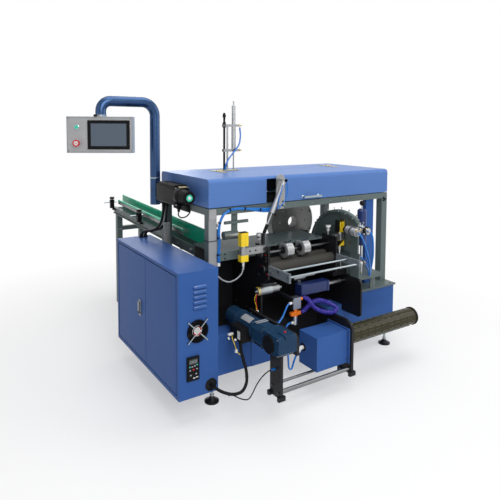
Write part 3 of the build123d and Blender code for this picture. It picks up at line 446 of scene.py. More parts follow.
def moulded(name, shade, rough=0.45, grain=600.0, relief=0.12, coat=0.0, edge=0.0008):
    """Moulded plastic, lacquer or blackened steel."""
    plastic = Finish(name)
    colour = plastic.mix(plastic.noise(12.0, 3.0).clamped(), tuple(c * 0.85 for c in shade),
                         tuple(min(1, c * 1.12) for c in shade))
    plastic.set(Base_Color=colour, Roughness=plastic.noise(40.0, 3.0) * 0.14 + (rough - 0.07),
                Coat_Weight=coat, Specular_IOR_Level=0.06 if max(shade) < 0.1 else 0.4,
                Normal=plastic.bump(plastic.noise(grain, 2.0), relief, 0.0006, plastic.rounded(edge)))
    return plastic.material


# The louvres are pressed in the cabinet's own enamel; their lighter blue than the body is a painted highlight
# on the bulges.
lit_louvre_blue = enamel("lit_louvre_blue", (0.070, 0.160, 0.420), (0.066, 0.150, 0.400), (0.080, 0.172, 0.440),
                     0.16, 0.02, 0.001, 0.5, 0.6)
black = moulded("black_moulding", (0.010, 0.010, 0.011), 0.36)
rubber = moulded("black_rubber", (0.020, 0.020, 0.022), 0.55, 900.0, 0.3)
white_plastic = moulded("white_plastic", (0.80, 0.80, 0.78), 0.35)
red = moulded("red_moulding", (0.62, 0.02, 0.03), 0.26)
teal = moulded("teal_key", (0.05, 0.42, 0.36), 0.35)
key_grey = moulded("grey_key", (0.32, 0.34, 0.36), 0.4)
FAN_X, FAN_Z = 103, 479
GUARD_CROSS = 4.5
dress(body_blue, "cabinet_body", "cabinet_door_front", "cabinet_door_rear")
dress(black, "fan_housing", "fan_rotor", "drive_keypad")
dress(ground, "door_lock")
tint("fan_housing", chrome, lambda p: p.y < -0.5 and abs(abs(p.x - FAN_X) - abs(p.z - FAN_Z)) < GUARD_CROSS)
louvres = Shape()
for z in range(599, 704, 26):
    louvres.turned((81, 3, z), RIGHT, ((0, 3), (3, 6.5), (7, 8), (67, 8), (71, 6.5), (74, 3)), 20)
louvres.done("pressed_louvres", lit_louvre_blue)
Shape().slab((-2, -1, 768), (0, 919, 785)).done("cabinet_top_lip", body_blue, bevel=0.8)
lock = Shape().slab((-5.5, 503, 424), (-4, 527, 429))
lock.turned((-14, 515, 436), LEFT, ((0, 4.5), (1.5, 4.5)))
lock.done("lock_barrel", black, "rear_door")
hub = Shape().turned((FAN_X, 3, FAN_Z), FRONT, ((0, 27), (1.2, 27), (1.8, 25.5)), 36)
hub.done("fan_hub_disc", white_plastic, "fan_body")
HUB_FACE_Y = 0.9


def hub_part(name, finish, inner, outer, sweep, number):
    """Flat ring segments on the fan's hub."""
    shape = Shape()
    for copy in range(number):
        edges = [[(FAN_X + radius * math.cos(angle), HUB_FACE_Y, FAN_Z + radius * math.sin(angle))
                  for angle in (copy * 2 * math.pi / number + sweep * step / 8 for step in range(9))]
                 for radius in (inner, outer)]
        shape.strip(*edges)
    shape.done(name, finish, "fan_body")


hub_part("fan_hub_ring", red, 17.5, 23.0, 1.2, 4)
hub_part("fan_hub_marks", key_grey, 3.0, 13.5, 0.35, 8)
HOLE_X, HOLE_Z, HOLE_EDGE = 180, 181, 31
grommet = Shape()
outwards = [Vector((math.cos(a), 0, math.sin(a))) for a in (step * math.pi / 16 for step in range(32))]
grommet.skin([grommet.ring(Vector((HOLE_X, -0.5, HOLE_Z)) + out * HOLE_EDGE, out, Vector(BACK), 2.6, 8)
              for out in outwards], closed=True)
grommet.done("cable_hole_edge", rubber)
liner = Shape().turned((HOLE_X, 4.2, HOLE_Z), BACK, ((0, 29.5), (0.8, 29.5)), 32)
liner.done("cable_hole_liner", rubber)
display = Finish("keypad_display")
display.set(Base_Color=(0.030, 0.040, 0.038), Roughness=0.15, Coat_Weight=0.5)
Shape().slab((52, -11.2, 320), (98, -10, 344)).done("keypad_window", display.material)
digits = Shape()
for x in range(58, 94, 8):
    digits.slab((x, -11.6, 326), (x + 4.5, -11.1, 330)).slab((x, -11.6, 334), (x + 4.5, -11.1, 337))
digits.done("keypad_digits", key_grey)
KEYS = (("keypad_teal_keys", teal, ((55, 309), (95, 313))),
        ("keypad_red_key", red, ((75, 292),)),
        ("keypad_grey_keys", key_grey, ((68, 308), (82, 310), (56, 291), (94, 293), (60, 266), (90, 268))))
for name, finish, spots in KEYS:
    keys = Shape()
    for x, z in spots:
        keys.slab((x - 4.5, -13.2, z - 3.5), (x + 4.5, -11.5, z + 3.5))
    keys.done(name, finish, bevel=0.8)
strip = Shape().slab((72, -13, 246), (84, -11.8, 251)).slab((88, -13, 248), (100, -11.8, 253))
strip.done("keypad_strip", white_plastic)

# Base: welded sheet in the same blue, a grey-green top plate bolted down, black trays under the mechanism,
# and chromed levelling feet with black pads and lock nuts.
frame_grey = enamel("frame_grey_green", (0.110, 0.142, 0.140), (0.095, 0.124, 0.122), (0.128, 0.164, 0.160),
                    0.36)
black_paint = enamel("black_enamel", (0.012, 0.012, 0.014), (0.010, 0.010, 0.012), (0.016, 0.016, 0.018),
                     0.30)
nickel = bright("dark_nickel", (0.16, 0.165, 0.17), 0.24)
FEET = ((261, 140), (261, 800), (1631, 150), (1631, 800))
FOOT_PAD_TOP = 31
RIGHT_X = 1684
dress(body_blue, "base_housing", "blue_column")
dress(frame_grey, "base_top_plate")
dress(black_paint, "bay_panels")
Shape().slab((506, 121, 140), (662, 122, 368)).done("base_front_sheet", body_blue)
dress(black_paint, "levelling_feet")
tint("levelling_feet", chrome, lambda p: p.z > FOOT_PAD_TOP)
nuts = Shape()
for x, y in FEET:
    nuts.turned((x, y, 118), UP, ((0, 16), (9, 16)), 6)
    nuts.turned((x, y, 36), UP, ((0, 13), (7, 13)), 6)
nuts.done("foot_nuts", ground)
small = Shape()
small.screws(((1226, 125, 400), (1668, 125, 400), (1668, 125, 160), (1226, 125, 160)), FRONT, 3.2)
small.screws([(RIGHT_X, y, z) for y in (150, 480, 820) for z in (160, 398)], RIGHT, 3.2)
small.screws([(x, REAR_Y, z) for x in (250, 700, 1190, 1240, 1660) for z in (160, 350)], BACK, 3.2)
small.done("base_screws", ground)
TOP_BOLTS = ((1228, 830), (1290, 130), (1660, 130), (1612, 830), (1672, 500))
Shape().hexes([(x, y, 430) for x, y in TOP_BOLTS], UP, 6).done("top_plate_bolts", ground)

# Frame: square steel tube in grey-green with rails above it, the front faces of the posts but the right ones
# painted a lighter neutral grey as a painted highlight, screwed together, a ground steel gusset at the front
# left and chromed guide bars for the folding carriage under the cover.
post_grey = enamel("post_grey", (0.330, 0.342, 0.350), (0.300, 0.312, 0.320), (0.360, 0.372, 0.380), 0.34)
FRAME_Y = 201
dress(post_grey, "frame_posts")
dress(frame_grey, "top_rails", "back_wall", "table_plate")
tint("back_wall", black_paint, lambda p: p.y < 470.6)
dress(chrome, "carriage_rods")
dress(ground, "steel_brackets")
# The posts' front faces keep the lighter grey, a painted highlight; all other faces, and the right posts,
# take the frame's grey-green.
tint("frame_posts", frame_grey, lambda p: abs(p.y - FRAME_Y) > 0.6 or p.x > 1600)
tint("steel_brackets", frame_grey, lambda p: 384 < p.x < 541 and p.y > 210)
Shape().slab((274, 199.5, 868), (326, 253, 872)).done("post_strap", rubber)
fasteners = Shape()
fasteners.screws(((286, 198, 1036), (311, 198, 1036), (286, 198, 994), (311, 198, 994)), FRONT, 3.2)
fasteners.screws([(x, FRAME_Y, 1030) for x in (420, 560, 860, 1010, 1160, 1310, 1460)], FRONT, 3.4)
fasteners.screws([(x, REAR_Y, z) for x in (288, 312, 1646, 1672) for z in (1022, 1038)], BACK, 3.4)
fasteners.screws([(RIGHT_X, y, z) for y in (214, 238, 808, 832) for z in (1022, 1038)], RIGHT, 3.4)
fasteners.screws([(RIGHT_X, y, 446) for y in (214, 238, 808, 832)], RIGHT, 3.4)
fasteners.done("frame_screws", ground)
clamps = Shape().screws(((1648, FRAME_Y, 1014), (1664, FRAME_Y, 1004), (1650, FRAME_Y, 996)), FRONT, 6.5)
clamps.done("post_clamps", black)

# Mechanism: black side plates, blued table and rear wall, turned press wheels on a ground shaft, rubber
# draw rollers, chromed guide rods in grey arms, and a milled ring disc.
cast = bright("milled_disc", (0.215, 0.215, 0.210), 0.24, (80, 80, 80), 0.7, 0.25)
roller_dark = moulded("roller_rubber", (0.060, 0.058, 0.052), 0.30, 300.0, 0.1)
arm_grey = enamel("arm_grey", (0.160, 0.185, 0.205), (0.145, 0.168, 0.188), (0.175, 0.200, 0.220), 0.34)
wheel_steel = bright("turned_wheel", (0.52, 0.53, 0.54), 0.22, (900, 60, 60))
dress(black_paint, "side_plates")
dress(cast, "ring_disc")
dress(roller_dark, "draw_rollers")
dress(wheel_steel, "press_wheels")
dress(arm_grey, "guide_brackets")
dress(chrome, "guide_rods")
LEFT_PLATE, RIGHT_PLATE, LOWER_PLATE = 588, 1112, 1212
PRESS_Y, PRESS_Z = 150, 773
ROLLER_Y, ROLLER_Z = 123, 692
tint("press_wheels", nickel, lambda p: math.hypot(p.y - PRESS_Y, p.z - PRESS_Z) < 14)
tint("guide_brackets", ground, lambda p: p.x > RIGHT_PLATE + 0.5)
collars = Shape()
for x in (726, 851):
    collars.turned((x, PRESS_Y, PRESS_Z), RIGHT, ((0, 14), (14, 14), (16, 19), (19.5, 19)), 24)
collars.done("wheel_collars", black, "press_shaft_body")
faces = Shape()
for x in (745.7, 870.7):
    rims = [faces.ring(Vector((x + depth, PRESS_Y, PRESS_Z)), Vector(BACK), Vector(UP), radius, 40)
            for depth, radius in ((0.2, 22), (-0.4, 23), (-0.4, 45), (0.2, 46))]
    faces.skin(rims, closed=True)
wheel_face = bright("wheel_face", (0.46, 0.46, 0.47), 0.30, (60, 300, 300), 0.3)
faces.done("wheel_faces", wheel_face, "press_shaft_body")
PLATE_BOLTS = (
    (LEFT_PLATE, LEFT, ((92, 812), (130, 812), (190, 808), (98, 760), (98, 742), (170, 650), (98, 690),
                        (240, 770), (320, 770), (400, 770), (200, 560), (200, 470), (300, 420), (420, 420),
                        (380, 600), (300, 690))),
    (RIGHT_PLATE, RIGHT, ((92, 812), (120, 790), (190, 808), (240, 770), (320, 770), (120, 640), (200, 640),
                          (300, 640), (400, 640))),
    (LOWER_PLATE, RIGHT, ((-10, 540), (40, 470), (-10, 372), (90, 540), (200, 500), (320, 500), (420, 440))),
    (LEFT_PLATE + 12, RIGHT, ((112, 800), (200, 640), (300, 700))))
plate_bolts = Shape()
for x, way, spots in PLATE_BOLTS:
    plate_bolts.screws([(x, y, z) for y, z in spots], way, 5)
plate_bolts.done("plate_bolts", nickel)
set_screws = Shape().screws([(LEFT_PLATE, y, z) for y, z in ((104, 774), (150, 700), (84, 668))], LEFT, 3.4)
set_screws.done("red_set_screws", red)
bearings = Shape()
for x, way in ((LEFT_PLATE, LEFT), (RIGHT_PLATE, RIGHT)):
    bearings.turned((x, PRESS_Y, PRESS_Z), way, ((0, 26), (9, 26), (11, 24), (11, 12), (6, 11)), 28)
    bearings.turned((x, ROLLER_Y, ROLLER_Z), way, ((0, 22), (7, 22), (9, 20)), 28)
bearings.done("shaft_bearings", nickel)
table_bolts = Shape().screws([(x, 226, 800) for x in (640, 730, 860, 990, 1070)], UP, 4.5)
table_bolts.screws([(x, 455, 800) for x in (640, 800, 900)], UP, 4.5)
table_bolts.screws([(x, 205, z) for x in (380, 470, 560) for z in (762, 786)], FRONT, 4)
table_bolts.done("table_bolts", black)
UPPER_ROD, LOWER_ROD = (-20, 708), (-104, 697)
arm_ends = Shape()
for x, way in ((LEFT_PLATE, LEFT), (RIGHT_PLATE + 20, RIGHT)):
    for rod in (UPPER_ROD, LOWER_ROD):
        arm_ends.turned((x, *rod), way, ((0, 8), (2, 8)), 16)
arm_ends.screws(((LEFT_PLATE, 60, 694), (LEFT_PLATE, 30, 690)), LEFT, 5)
arm_ends.done("rod_end_screws", ground)
knob = Shape()
knob.turned((RIGHT_PLATE + 20, *LOWER_ROD), RIGHT, ((0, 9), (6, 9), (8, 18), (22, 18), (24, 15)), 24)
knob.done("rod_knob", nickel)
RING_X, RING_Z, RING_FACE_Y, RING_BOLTS = 1087, 854, 500, 162
disc_bolts = Shape()
for step in range(8):
    angle = math.radians(step * 45 + 22.5)
    spot = (RING_X + RING_BOLTS * math.cos(angle), RING_FACE_Y, RING_Z + RING_BOLTS * math.sin(angle))
    disc_bolts.screws([spot], FRONT, 5.5)
disc_bolts.done("disc_bolts", black)

# Folding disc: an upright steel sector in grey enamel on its neck, which turns the film's edge in at the
# roll's end, with turned guide pins standing on its rim.
FOLD_X, FOLD_Y, FOLD_Z, FOLD_RADIUS = 1200, 145, 689, 287
FOLD_BOTTOM = 735
dress(frame_grey, "fold_disc")
pins = Shape()
for degrees in range(38, 150, 13):
    angle = math.radians(degrees)
    y, z = FOLD_Y + (FOLD_RADIUS - 8) * math.cos(angle), FOLD_Z + (FOLD_RADIUS - 8) * math.sin(angle)
    if z > FOLD_BOTTOM:
        pins.turned((1186, y, z), LEFT, ((0, 4), (10, 4), (10, 6), (13, 6)), 10)
        pins.turned((1205, FOLD_Y + FOLD_RADIUS * math.cos(angle), FOLD_Z + FOLD_RADIUS * math.sin(angle)),
                    (0, math.cos(angle), math.sin(angle)), ((0, 3), (12, 3), (12, 4.5), (16, 4.5)), 10)
pins.done("rim_pins", ground)
FACE_SCREWS = ((60, 780), (150, 780), (240, 780), (60, 870), (240, 870), (150, 930))
Shape().screws([(FOLD_X, y, z) for y, z in FACE_SCREWS], LEFT, 5).done("disc_face_screws", nickel)

# Swing plate and air cylinders: milled aluminium plate, ground barrels with turned heads, and on the cover a
# blackened guide rod beside the standing cylinder, with its blue hose and brass throttle screws.
aluminium = bright("milled_aluminium", (0.40, 0.41, 0.42), 0.32, (300, 300, 30))
brass = bright("brass", (0.72, 0.50, 0.20), 0.22)
hose_blue = moulded("blue_hose", (0.004, 0.160, 0.560), 0.22, 400.0, 0.03, 0.2)
barrel = bright("cylinder_barrel", (0.40, 0.41, 0.43), 0.36, (200, 200, 20), 0.7)
STAND_Y, STAND_FOOT = 650, 1219
ROD_X = 632
dress(aluminium, "cylinder_plate", "standing_cylinder")
dress(barrel, "tilted_cylinder")
tint("tilted_cylinder", black, lambda p: p.z < 935)
tint("standing_cylinder", black, lambda p: p.x < 645 and p.z > STAND_FOOT)
tint("standing_cylinder", zinc, lambda p: p.z < STAND_FOOT)
rod_cap = Shape().turned((ROD_X, STAND_Y, 1560), UP, ((0, 11), (16, 11), (22, 8), (30, 6)))
rod_cap.turned((ROD_X, STAND_Y, 1494), UP, ((0, 11), (34, 11)))
rod_cap.done("rod_cap", black)
throttles = Shape()
for z in (1508, 1345):
    throttles.turned((740, STAND_Y, z), RIGHT, ((0, 4), (10, 4), (10, 6), (15, 6), (15, 3), (26, 3)), 12)
    throttles.turned((752, STAND_Y, z - 8), UP, ((0, 2.4), (20, 2.4)), 8)
throttles.done("throttle_screws", brass)
Shape().bent(((745, 641, 1496), (748, 637, 1440), (736, 634, 1385), (704, 630, 1345), (662, 628, 1300),
              (636, 630, 1258), (628, 632, 1216)), 5.5).done("standing_hose", hose_blue)
stand = Shape().screws([(x, y, STAND_FOOT - 1) for x in (610, 720) for y in (632, 664)], UP, 4)
stand.done("stand_screws", ground)
tilt_hose = Shape()
tilt_hose.bent(((766, 150, 1188), (772, 146, 1140), (762, 144, 1090), (735, 146, 1050), (712, 152, 1024)),
               3.6)
tilt_hose.bent(((722, 128, 1162), (704, 122, 1120), (690, 122, 1080), (690, 130, 1044), (700, 150, 1020)),
               3.6)
tilt_hose.done("tilt_hoses", hose_blue)
carriage = Shape().slab((640, 313, 1022), (1030, 317, 1186))
for x in (660, 980):
    carriage.slab((x, 286, 1094), (x + 34, 314, 1126))
carriage.done("carriage_plate", black_paint, bevel=1.0)
plate_screws = Shape()
plate_screws.screws(((728, 176, 1060), (760, 176, 1060), (728, 176, 1036), (760, 176, 1036)), FRONT, 4.5)
plate_screws.screws(((743, 128, 1190),), FRONT, 9)
plate_screws.done("swing_plate_screws", black)

# Sensors and oil cups: yellow moulded housings with black caps on aluminium bars, each with its plug and
# lead, and spun oil cups with clear bowls screwed into the tops of the side plates.
yellow = moulded("yellow_moulding", (0.88, 0.62, 0.02), 0.32)
green = moulded("green_lens", (0.0, 0.45, 0.16), 0.2)
cup = bright("spun_cup", (0.66, 0.67, 0.68), 0.22)
DOWN = (0, 0, -1)
SENSORS = ((423, 470), (1142, 1188))
SENSOR_LOW, SENSOR_TOP, SENSOR_Y = 757, 917, 117
dress(yellow, "sensors")
dress(cup, "oil_cups")
bowls = Shape()
for x, y in ((594, 180), (1106, 160)):
    bowls.turned((x, y, 845), UP, ((0, 6), (5, 9), (34, 17), (41, 17), (41, 15), (38, 14)), 24)
bowls.done("oil_cup_bowls", white_plastic)
tint("sensors", aluminium, lambda p: 792.5 < p.z < 842.5)
tint("sensors", black, lambda p: 1141 < p.x < 1160 and (p.z > 843 or p.z < 792))
caps, leads, ribs = Shape(), Shape(), Shape()
for x0, x1 in SENSORS:
    caps.slab((x0 + 1, 101, SENSOR_TOP), (x1 - 1, 134, SENSOR_TOP + 4))
    leads.turned(((x0 + x1) / 2, SENSOR_Y, SENSOR_LOW), DOWN,
                 ((0, 8), (12, 8), (14, 6.5), (30, 6), (32, 4.2), (46, 4)), 14)
    for x in (x0 + 8, x1 - 20):
        ribs.slab((x, 98.8, 850), (x + 12, 100.5, 910))
caps.done("sensor_caps", black, bevel=1.0)
leads.done("sensor_plugs", white_plastic)
ribs.done("sensor_ribs", yellow, bevel=0.6)
Shape().turned((1151, 112, SENSOR_TOP + 4), UP, ((0, 4), (2, 3)), 12).done("sensor_lamp", green)
lead = Shape().bent(((1165, 117, 712), (1166, 115, 680), (1172, 112, 640), (1176, 112, 600)), 3.2)
lead.done("sensor_lead", key_grey)
bar_screws = Shape().screws([(x, 104, 812) for x in (482, 520, 575, 1124)], FRONT, 4.2)
bar_screws.done("sensor_bar_screws", black)

# Inner drives: a silver geared motor with its coloured leads, and a navy air cylinder of square profile with
# ground rod, both hung between the side plates.
navy = moulded("navy_anodised", (0.014, 0.030, 0.130), 0.30, 300.0, 0.05)
pale_steel = bright("pale_steel", (0.52, 0.58, 0.59), 0.34)
MOTOR_Y, MOTOR_Z = 122, 567
dress(pale_steel, "roller_motor")
tint("roller_motor", ground, lambda p: p.x < 590 or p.x > 641)
dress(ground, "push_cylinder")
tint("push_cylinder", navy, lambda p: 823 < p.x < 1041 and p.y < 132)
Shape().slab((838, 69, 504), (1026, 131, 566)).done("cylinder_profile", navy, bevel=4.0)
profile_screws = Shape().screws([(1040, y, z) for y in (76, 124) for z in (510, 560)], RIGHT, 4)
profile_screws.done("profile_screws", ground)
bands = Shape()
for x in (541, 552):
    bands.turned((x, MOTOR_Y, MOTOR_Z), RIGHT, ((0, 24.6), (3, 24.6)), 24)
bands.done("motor_bands", yellow)
red_lead = Shape().bent(((541, 118, 556), (530, 112, 530), (534, 110, 495), (538, 108, 462)), 1.6)
red_lead.done("red_lead", red)
yellow_lead = Shape().bent(((541, 126, 556), (524, 118, 528), (530, 114, 495), (534, 110, 462)), 1.6)
yellow_lead.done("yellow_lead", yellow)
Shape().slab((529, 102, 442), (543, 114, 464)).done("lead_plug", white_plastic, bevel=1.0)
motor_end = Shape().turned((540, MOTOR_Y, MOTOR_Z), LEFT, ((0, 12), (4, 12), (4, 5), (8, 4)), 20)
motor_end.done("motor_end", ground)

# Unwinder: black steel plates on shoes, ground tie bars, blue brake housing, olive lacquered mandrel with
# slotted lugs, and a right-angle gearmotor cast in dark blue enamel with a black terminal box.
drive_blue = enamel("drive_blue", (0.012, 0.042, 0.092), (0.010, 0.036, 0.080), (0.016, 0.050, 0.106),
                    0.26, 0.12, 0.003, 0.12)
olive = moulded("olive_lacquer", (0.038, 0.034, 0.016), 0.14, 90.0, 0.04, 0.2)
olive_highlight = moulded("olive_edge_highlight", (0.22, 0.21, 0.13), 0.25)
cap_black = moulded("cap_black", (0.010, 0.010, 0.011), 0.30)
tie_steel = bright("tie_bar", (0.27, 0.275, 0.28), 0.20, ALONG_X)
MANDREL_Y, MANDREL_Z, MANDREL_END = -75, 270, 1635
dress(black_paint, "unwinder_plates")
dress(body_blue, "brake_box")
dress(tie_steel, "tie_bars")
dress(olive, "mandrel")
dress(drive_blue, "unwinder_gearmotor")
dress(cap_black, "terminal_box")
tint("mandrel", cap_black, lambda p: p.x > MANDREL_END - 16)
tint("unwinder_gearmotor", cap_black, lambda p: p.x < 379)
# Pale olive lines along each lug's edges: a painted highlight on the dark olive lacquer.
lug_highlight_lines = Shape()
for lug in range(8):
    angle = math.radians(22.5 + lug * 45)
    radial = Vector((0, -math.sin(angle), math.cos(angle)))
    across = Vector((0, math.cos(angle), math.sin(angle)))
    for edge in (-7.6, 7.6):
        for x in range(1075, 1560, 58):
            a = Vector((x, MANDREL_Y, MANDREL_Z)) + radial * 52.6 + across * edge
            lug_highlight_lines.along([a, a + Vector((40, 0, 0))], 0.9, 5)
lug_highlight_lines.done("lug_edge_highlights", olive_highlight, "mandrel_body")
end_plate = Shape().turned((MANDREL_END, MANDREL_Y, MANDREL_Z), RIGHT,
                           ((0, 40), (1.5, 40), (1.5, 14), (6, 13)), 32)
end_plate.done("mandrel_end_plate", nickel, "mandrel_body")
RIGHT_PLATE_BOLTS = ((-160, 118), (-108, 140), (-150, 370), (-60, 372), (40, 372), (110, 372))
LEFT_PLATE_BOLTS = ((-160, 118), (-108, 140), (100, 460), (100, 330), (-290, 396))
BRAKE_BOLTS = ((-158, 180), (-158, 250), (-158, 320), (13, 200), (13, 300))
shoes = Shape()
shoes.hexes([(x, -178, 88) for x in (482, 514, 984, 1016)], FRONT, 5)
shoes.screws([(1008, y, z) for y, z in RIGHT_PLATE_BOLTS], RIGHT, 6)
shoes.screws([(490, y, z) for y, z in LEFT_PLATE_BOLTS], LEFT, 6)
shoes.screws([(984, y, z) for y, z in BRAKE_BOLTS], LEFT, 4)
shoes.done("unwinder_bolts", nickel)
brake_grommet = Shape().turned((760, -30, 250), LEFT, ((0, 22), (2, 22), (3, 20), (3, 9), (1, 8)), 24)
brake_grommet.done("brake_grommet", rubber)
cap = Shape()
cap.turned((372, -228, 430), LEFT, ((0, 42), (2, 42), (2, 37), (0.6, 36), (0.6, 12), (2.4, 11)), 36)
cap.done("gearbox_cap", cap_black)
DRIVE_X, DRIVE_Z = 435, 432
gear = Shape()
gear.slab((382, -166, 378), (488, -152, 484)).slab((384, -68, 376), (487, -56, 485))
gear.slab((420, -312, 470), (470, -240, 490))
gear.turned((DRIVE_X, 208, DRIVE_Z), BACK, ((0, 46), (6, 42), (8, 34)), 32)
gear.done("gearbox_flanges", drive_blue, bevel=5.0)
gear_bolts = Shape()
gear_bolts.screws([(x, -152, z) for x in (392, 478) for z in (388, 474)], BACK, 5)
gear_bolts.screws([(380, y, z) for y in (-300, -168) for z in (398, 474)], LEFT, 4.5)
gear_bolts.done("gearbox_bolts", nickel)
Shape().turned((448, -268, 489), UP, ((0, 6), (4, 6), (4, 4), (7, 4)), 12).done("breather_plug", red)
fins = Shape()
for step in range(20):
    angle = math.radians(step * 18)
    a = Vector((DRIVE_X + 49 * math.cos(angle), -36, DRIVE_Z + 49 * math.sin(angle)))
    fins.along([a, a + Vector((0, 140, 0))], 2.2, 6)
fins.done("motor_fins", drive_blue)
plate_silver = bright("plate_silver", (0.62, 0.64, 0.66), 0.40, (40, 40, 40), 0.5)
arc = [(DRIVE_X + 52.6 * math.cos(math.radians(degrees)), DRIVE_Z + 52.6 * math.sin(math.radians(degrees)))
       for degrees in range(98, 141, 6)]
motor_plate = Shape().strip([(x, -30, z) for x, z in arc], [(x, 60, z) for x, z in arc])
motor_plate.done("bare_motor_plate", plate_silver)
strips = Shape().slab((398, -96, 486), (470, -88, 487.2)).slab((398, -78, 486), (470, -70, 487.2))
strips.done("bare_gear_strips", plate_silver)
Shape().slab((338.6, -24, 385), (340, 2, 428)).done("terminal_window", white_plastic)
Shape().slab((338, -40, 436), (404, 79, 443)).done("terminal_lid", cap_black, bevel=2.0)

# Air line: nickel fittings, navy spring cylinder with a black ball, orange tee with its coiled violet hose,
# and blue polyurethane hose tied along the frame.
orange = moulded("orange_tee", (0.90, 0.20, 0.01), 0.35)
violet = moulded("violet_hose", (0.050, 0.035, 0.400), 0.22, 400.0, 0.03, 0.3)
zinc_block = bright("zinc_block", (0.34, 0.37, 0.44), 0.32)
TALL_X, TALL_Y = 1340, 100
dress(cup, "air_valves")
tint("air_valves", navy, lambda p: p.x > 1316 and 739 < p.z < 980)
tint("air_valves", black, lambda p: p.x > 1316 and p.z > 996)
tint("air_valves", zinc_block, lambda p: 744 < p.x < 801 and 444 < p.z < 513)
tint("air_valves", orange,
     lambda p: (737 < p.x < 807 and 399 < p.z < 444) or (801 < p.x < 819 and 485 < p.z < 510))
tint("air_valves", white_plastic, lambda p: 740 < p.x < 763 and p.z < 260)
tint("air_valves", white_plastic, lambda p: p.x < 341)
tint("air_valves", black, lambda p: 505 < p.x < 525)
elbow = Shape().turned((744, -30, 250), RIGHT, ((0, 11), (16, 11), (18, 9)), 16)
elbow.bent(((758, -30, 251), (744, -30, 251), (734, -31, 243), (724, -33, 230)), 10, 12)
elbow.turned((745, 62, 480), LEFT, ((0, 8), (16, 8), (18, 6)), 16)
elbow.turned((757, 62, 362), LEFT, ((0, 7), (12, 7), (14, 5)), 16)
elbow.done("push_in_fittings", white_plastic)
tilt = Vector((0, -191, -22)).normalized()
right_start = Vector((1254, 150, 884))
left_start = Vector((1162, 56, 873))
banding = Shape()
for place, radius, long in ((4, 27, 8), (66, 30, 22), (168, 27.5, 10)):
    banding.turned(right_start + tilt * place, tilt, ((0, radius), (long, radius)), 28)
banding.done("valve_bands", black)
ribbed = [(0, 21), (6, 24)]
for place in range(14, 84, 11):
    ribbed += [(place, 24), (place + 1, 22), (place + 4, 22), (place + 5, 24)]
twin = Shape().turned(left_start, tilt, (*ribbed, (94, 24), (96, 18), (106, 18)), 28)
twin.slab((1180, -12, 846), (1200, 50, 890))
twin.done("disc_cylinder", barrel)
Shape().slab((1200.5, -20, 571), (1211.5, 60, 723)).done("disc_lower_plate", frame_grey, bevel=1.0)
face_bands = Shape()
for place, long in ((-3, 11), (44, 5)):
    face_bands.turned(left_start + tilt * place, tilt, ((0, 25.2), (long, 25.2)), 28)
face_bands.done("disc_cylinder_bands", black)
fittings = Shape()
for across in (-12, 12):
    fittings.turned(left_start + tilt * 100 + Vector((across, 0, 12)), (across / 20, -0.4, 1),
                    ((0, 4), (12, 4), (12, 3), (18, 3)), 10)
fittings.done("disc_cylinder_fittings", brass)
shell = Shape().turned((TALL_X, TALL_Y, 742), UP, ((0, 24), (4, 30), (222, 30), (229, 25)), 36)
shell.done("spring_cylinder_shell", navy)
BALL = 17
half_round = [(BALL - BALL * math.cos(math.pi * k / 12), BALL * math.sin(math.pi * k / 12))
              for k in range(13)]
Shape().turned((TALL_X, TALL_Y, 996), UP, half_round, 24).done("shift_ball", black)
studs = Shape()
for place in (20, 40, 100, 120, 140):
    studs.turned(right_start + tilt * place + Vector((0, 0, 22)), (0, 0.1, 1),
                 ((0, 5), (9, 5), (9, 3.5), (16, 3.5)), 10)
studs.turned((1262, 90, 850), RIGHT, ((0, 7), (12, 7), (12, 5), (20, 5)), 12)
studs.turned((1254, 104, 846), FRONT, ((0, 6), (14, 6), (14, 4), (24, 4)), 12)
studs.done("valve_studs", cup)
banjo = Shape()
for across in (-10, 10):
    banjo.turned((1254 + across, -30, 876), (0.3, 0, 1), ((0, 4), (8, 4)), 10)
banjo.done("valve_tips", brass)
POST_X, POST_Y = 332, 193
hoses = Shape()
hoses.bent(((728, -32, 236), (706, -34, 214), (674, -54, 196), (645, -84, 198), (612, -112, 194),
            (582, -130, 216), (570, -140, 258), (562, -142, 300), (528, -142, 310), (524, -142, 310)), 5.2)
hoses.bent(((757, 62, 362), (724, 62, 362), (690, 46, 352), (652, 24, 358), (618, 4, 384),
            (588, -16, 418), (560, -32, 438), (524, -32, 440)), 5.2)
hoses.bent(((745, 62, 480), (722, 62, 478), (698, 54, 458), (670, 44, 424), (632, 30, 402),
            (594, 16, 396), (560, 10, 398), (524, 10, 400)), 5.2)
for apart, end_rise in ((0, 0), (4, -9), (-1.5, 8)):
    x, y = POST_X + apart, POST_Y - apart
    hoses.bent(((x, y, 747), (x, y, 800), (x + 3, y, 858), (x, y, 916), (x + 8, POST_Y, 970 - apart),
                (364, y, 1014 - apart), (410, POST_Y, 1036 - apart), (466, POST_Y, 1040 - apart),
                (522, 191, 1034 - apart), (578, 187, 1026 - apart + end_rise / 2),
                (634, 183, 1018 + end_rise), (678, 180, 1018 + end_rise), (714, 182, 1028 + end_rise)), 4.6)
hoses.bent(((1254, -41, 862), (1256, -58, 857), (1262, -66, 838), (1274, -62, 800), (1290, -50, 750),
            (1306, -34, 700), (1322, -12, 650), (1338, 10, 606), (1352, 30, 574), (1360, 40, 550)), 5.6)
hoses.bent(((1251, 117, 798), (1251, 115, 778), (1260, 100, 748), (1282, 76, 700), (1312, 56, 655),
            (1342, 50, 610), (1368, 60, 576), (1382, 70, 550)), 5.6)
hoses.bent(((1162, -46, 862), (1163, -64, 856), (1172, -72, 834), (1198, -70, 790), (1228, -58, 740),
            (1262, -40, 690), (1300, -14, 640), (1330, 12, 598), (1346, 26, 570), (1350, 34, 550)), 5.6)
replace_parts(hoses.done("air_hose_lines", hose_blue), "air_hoses")
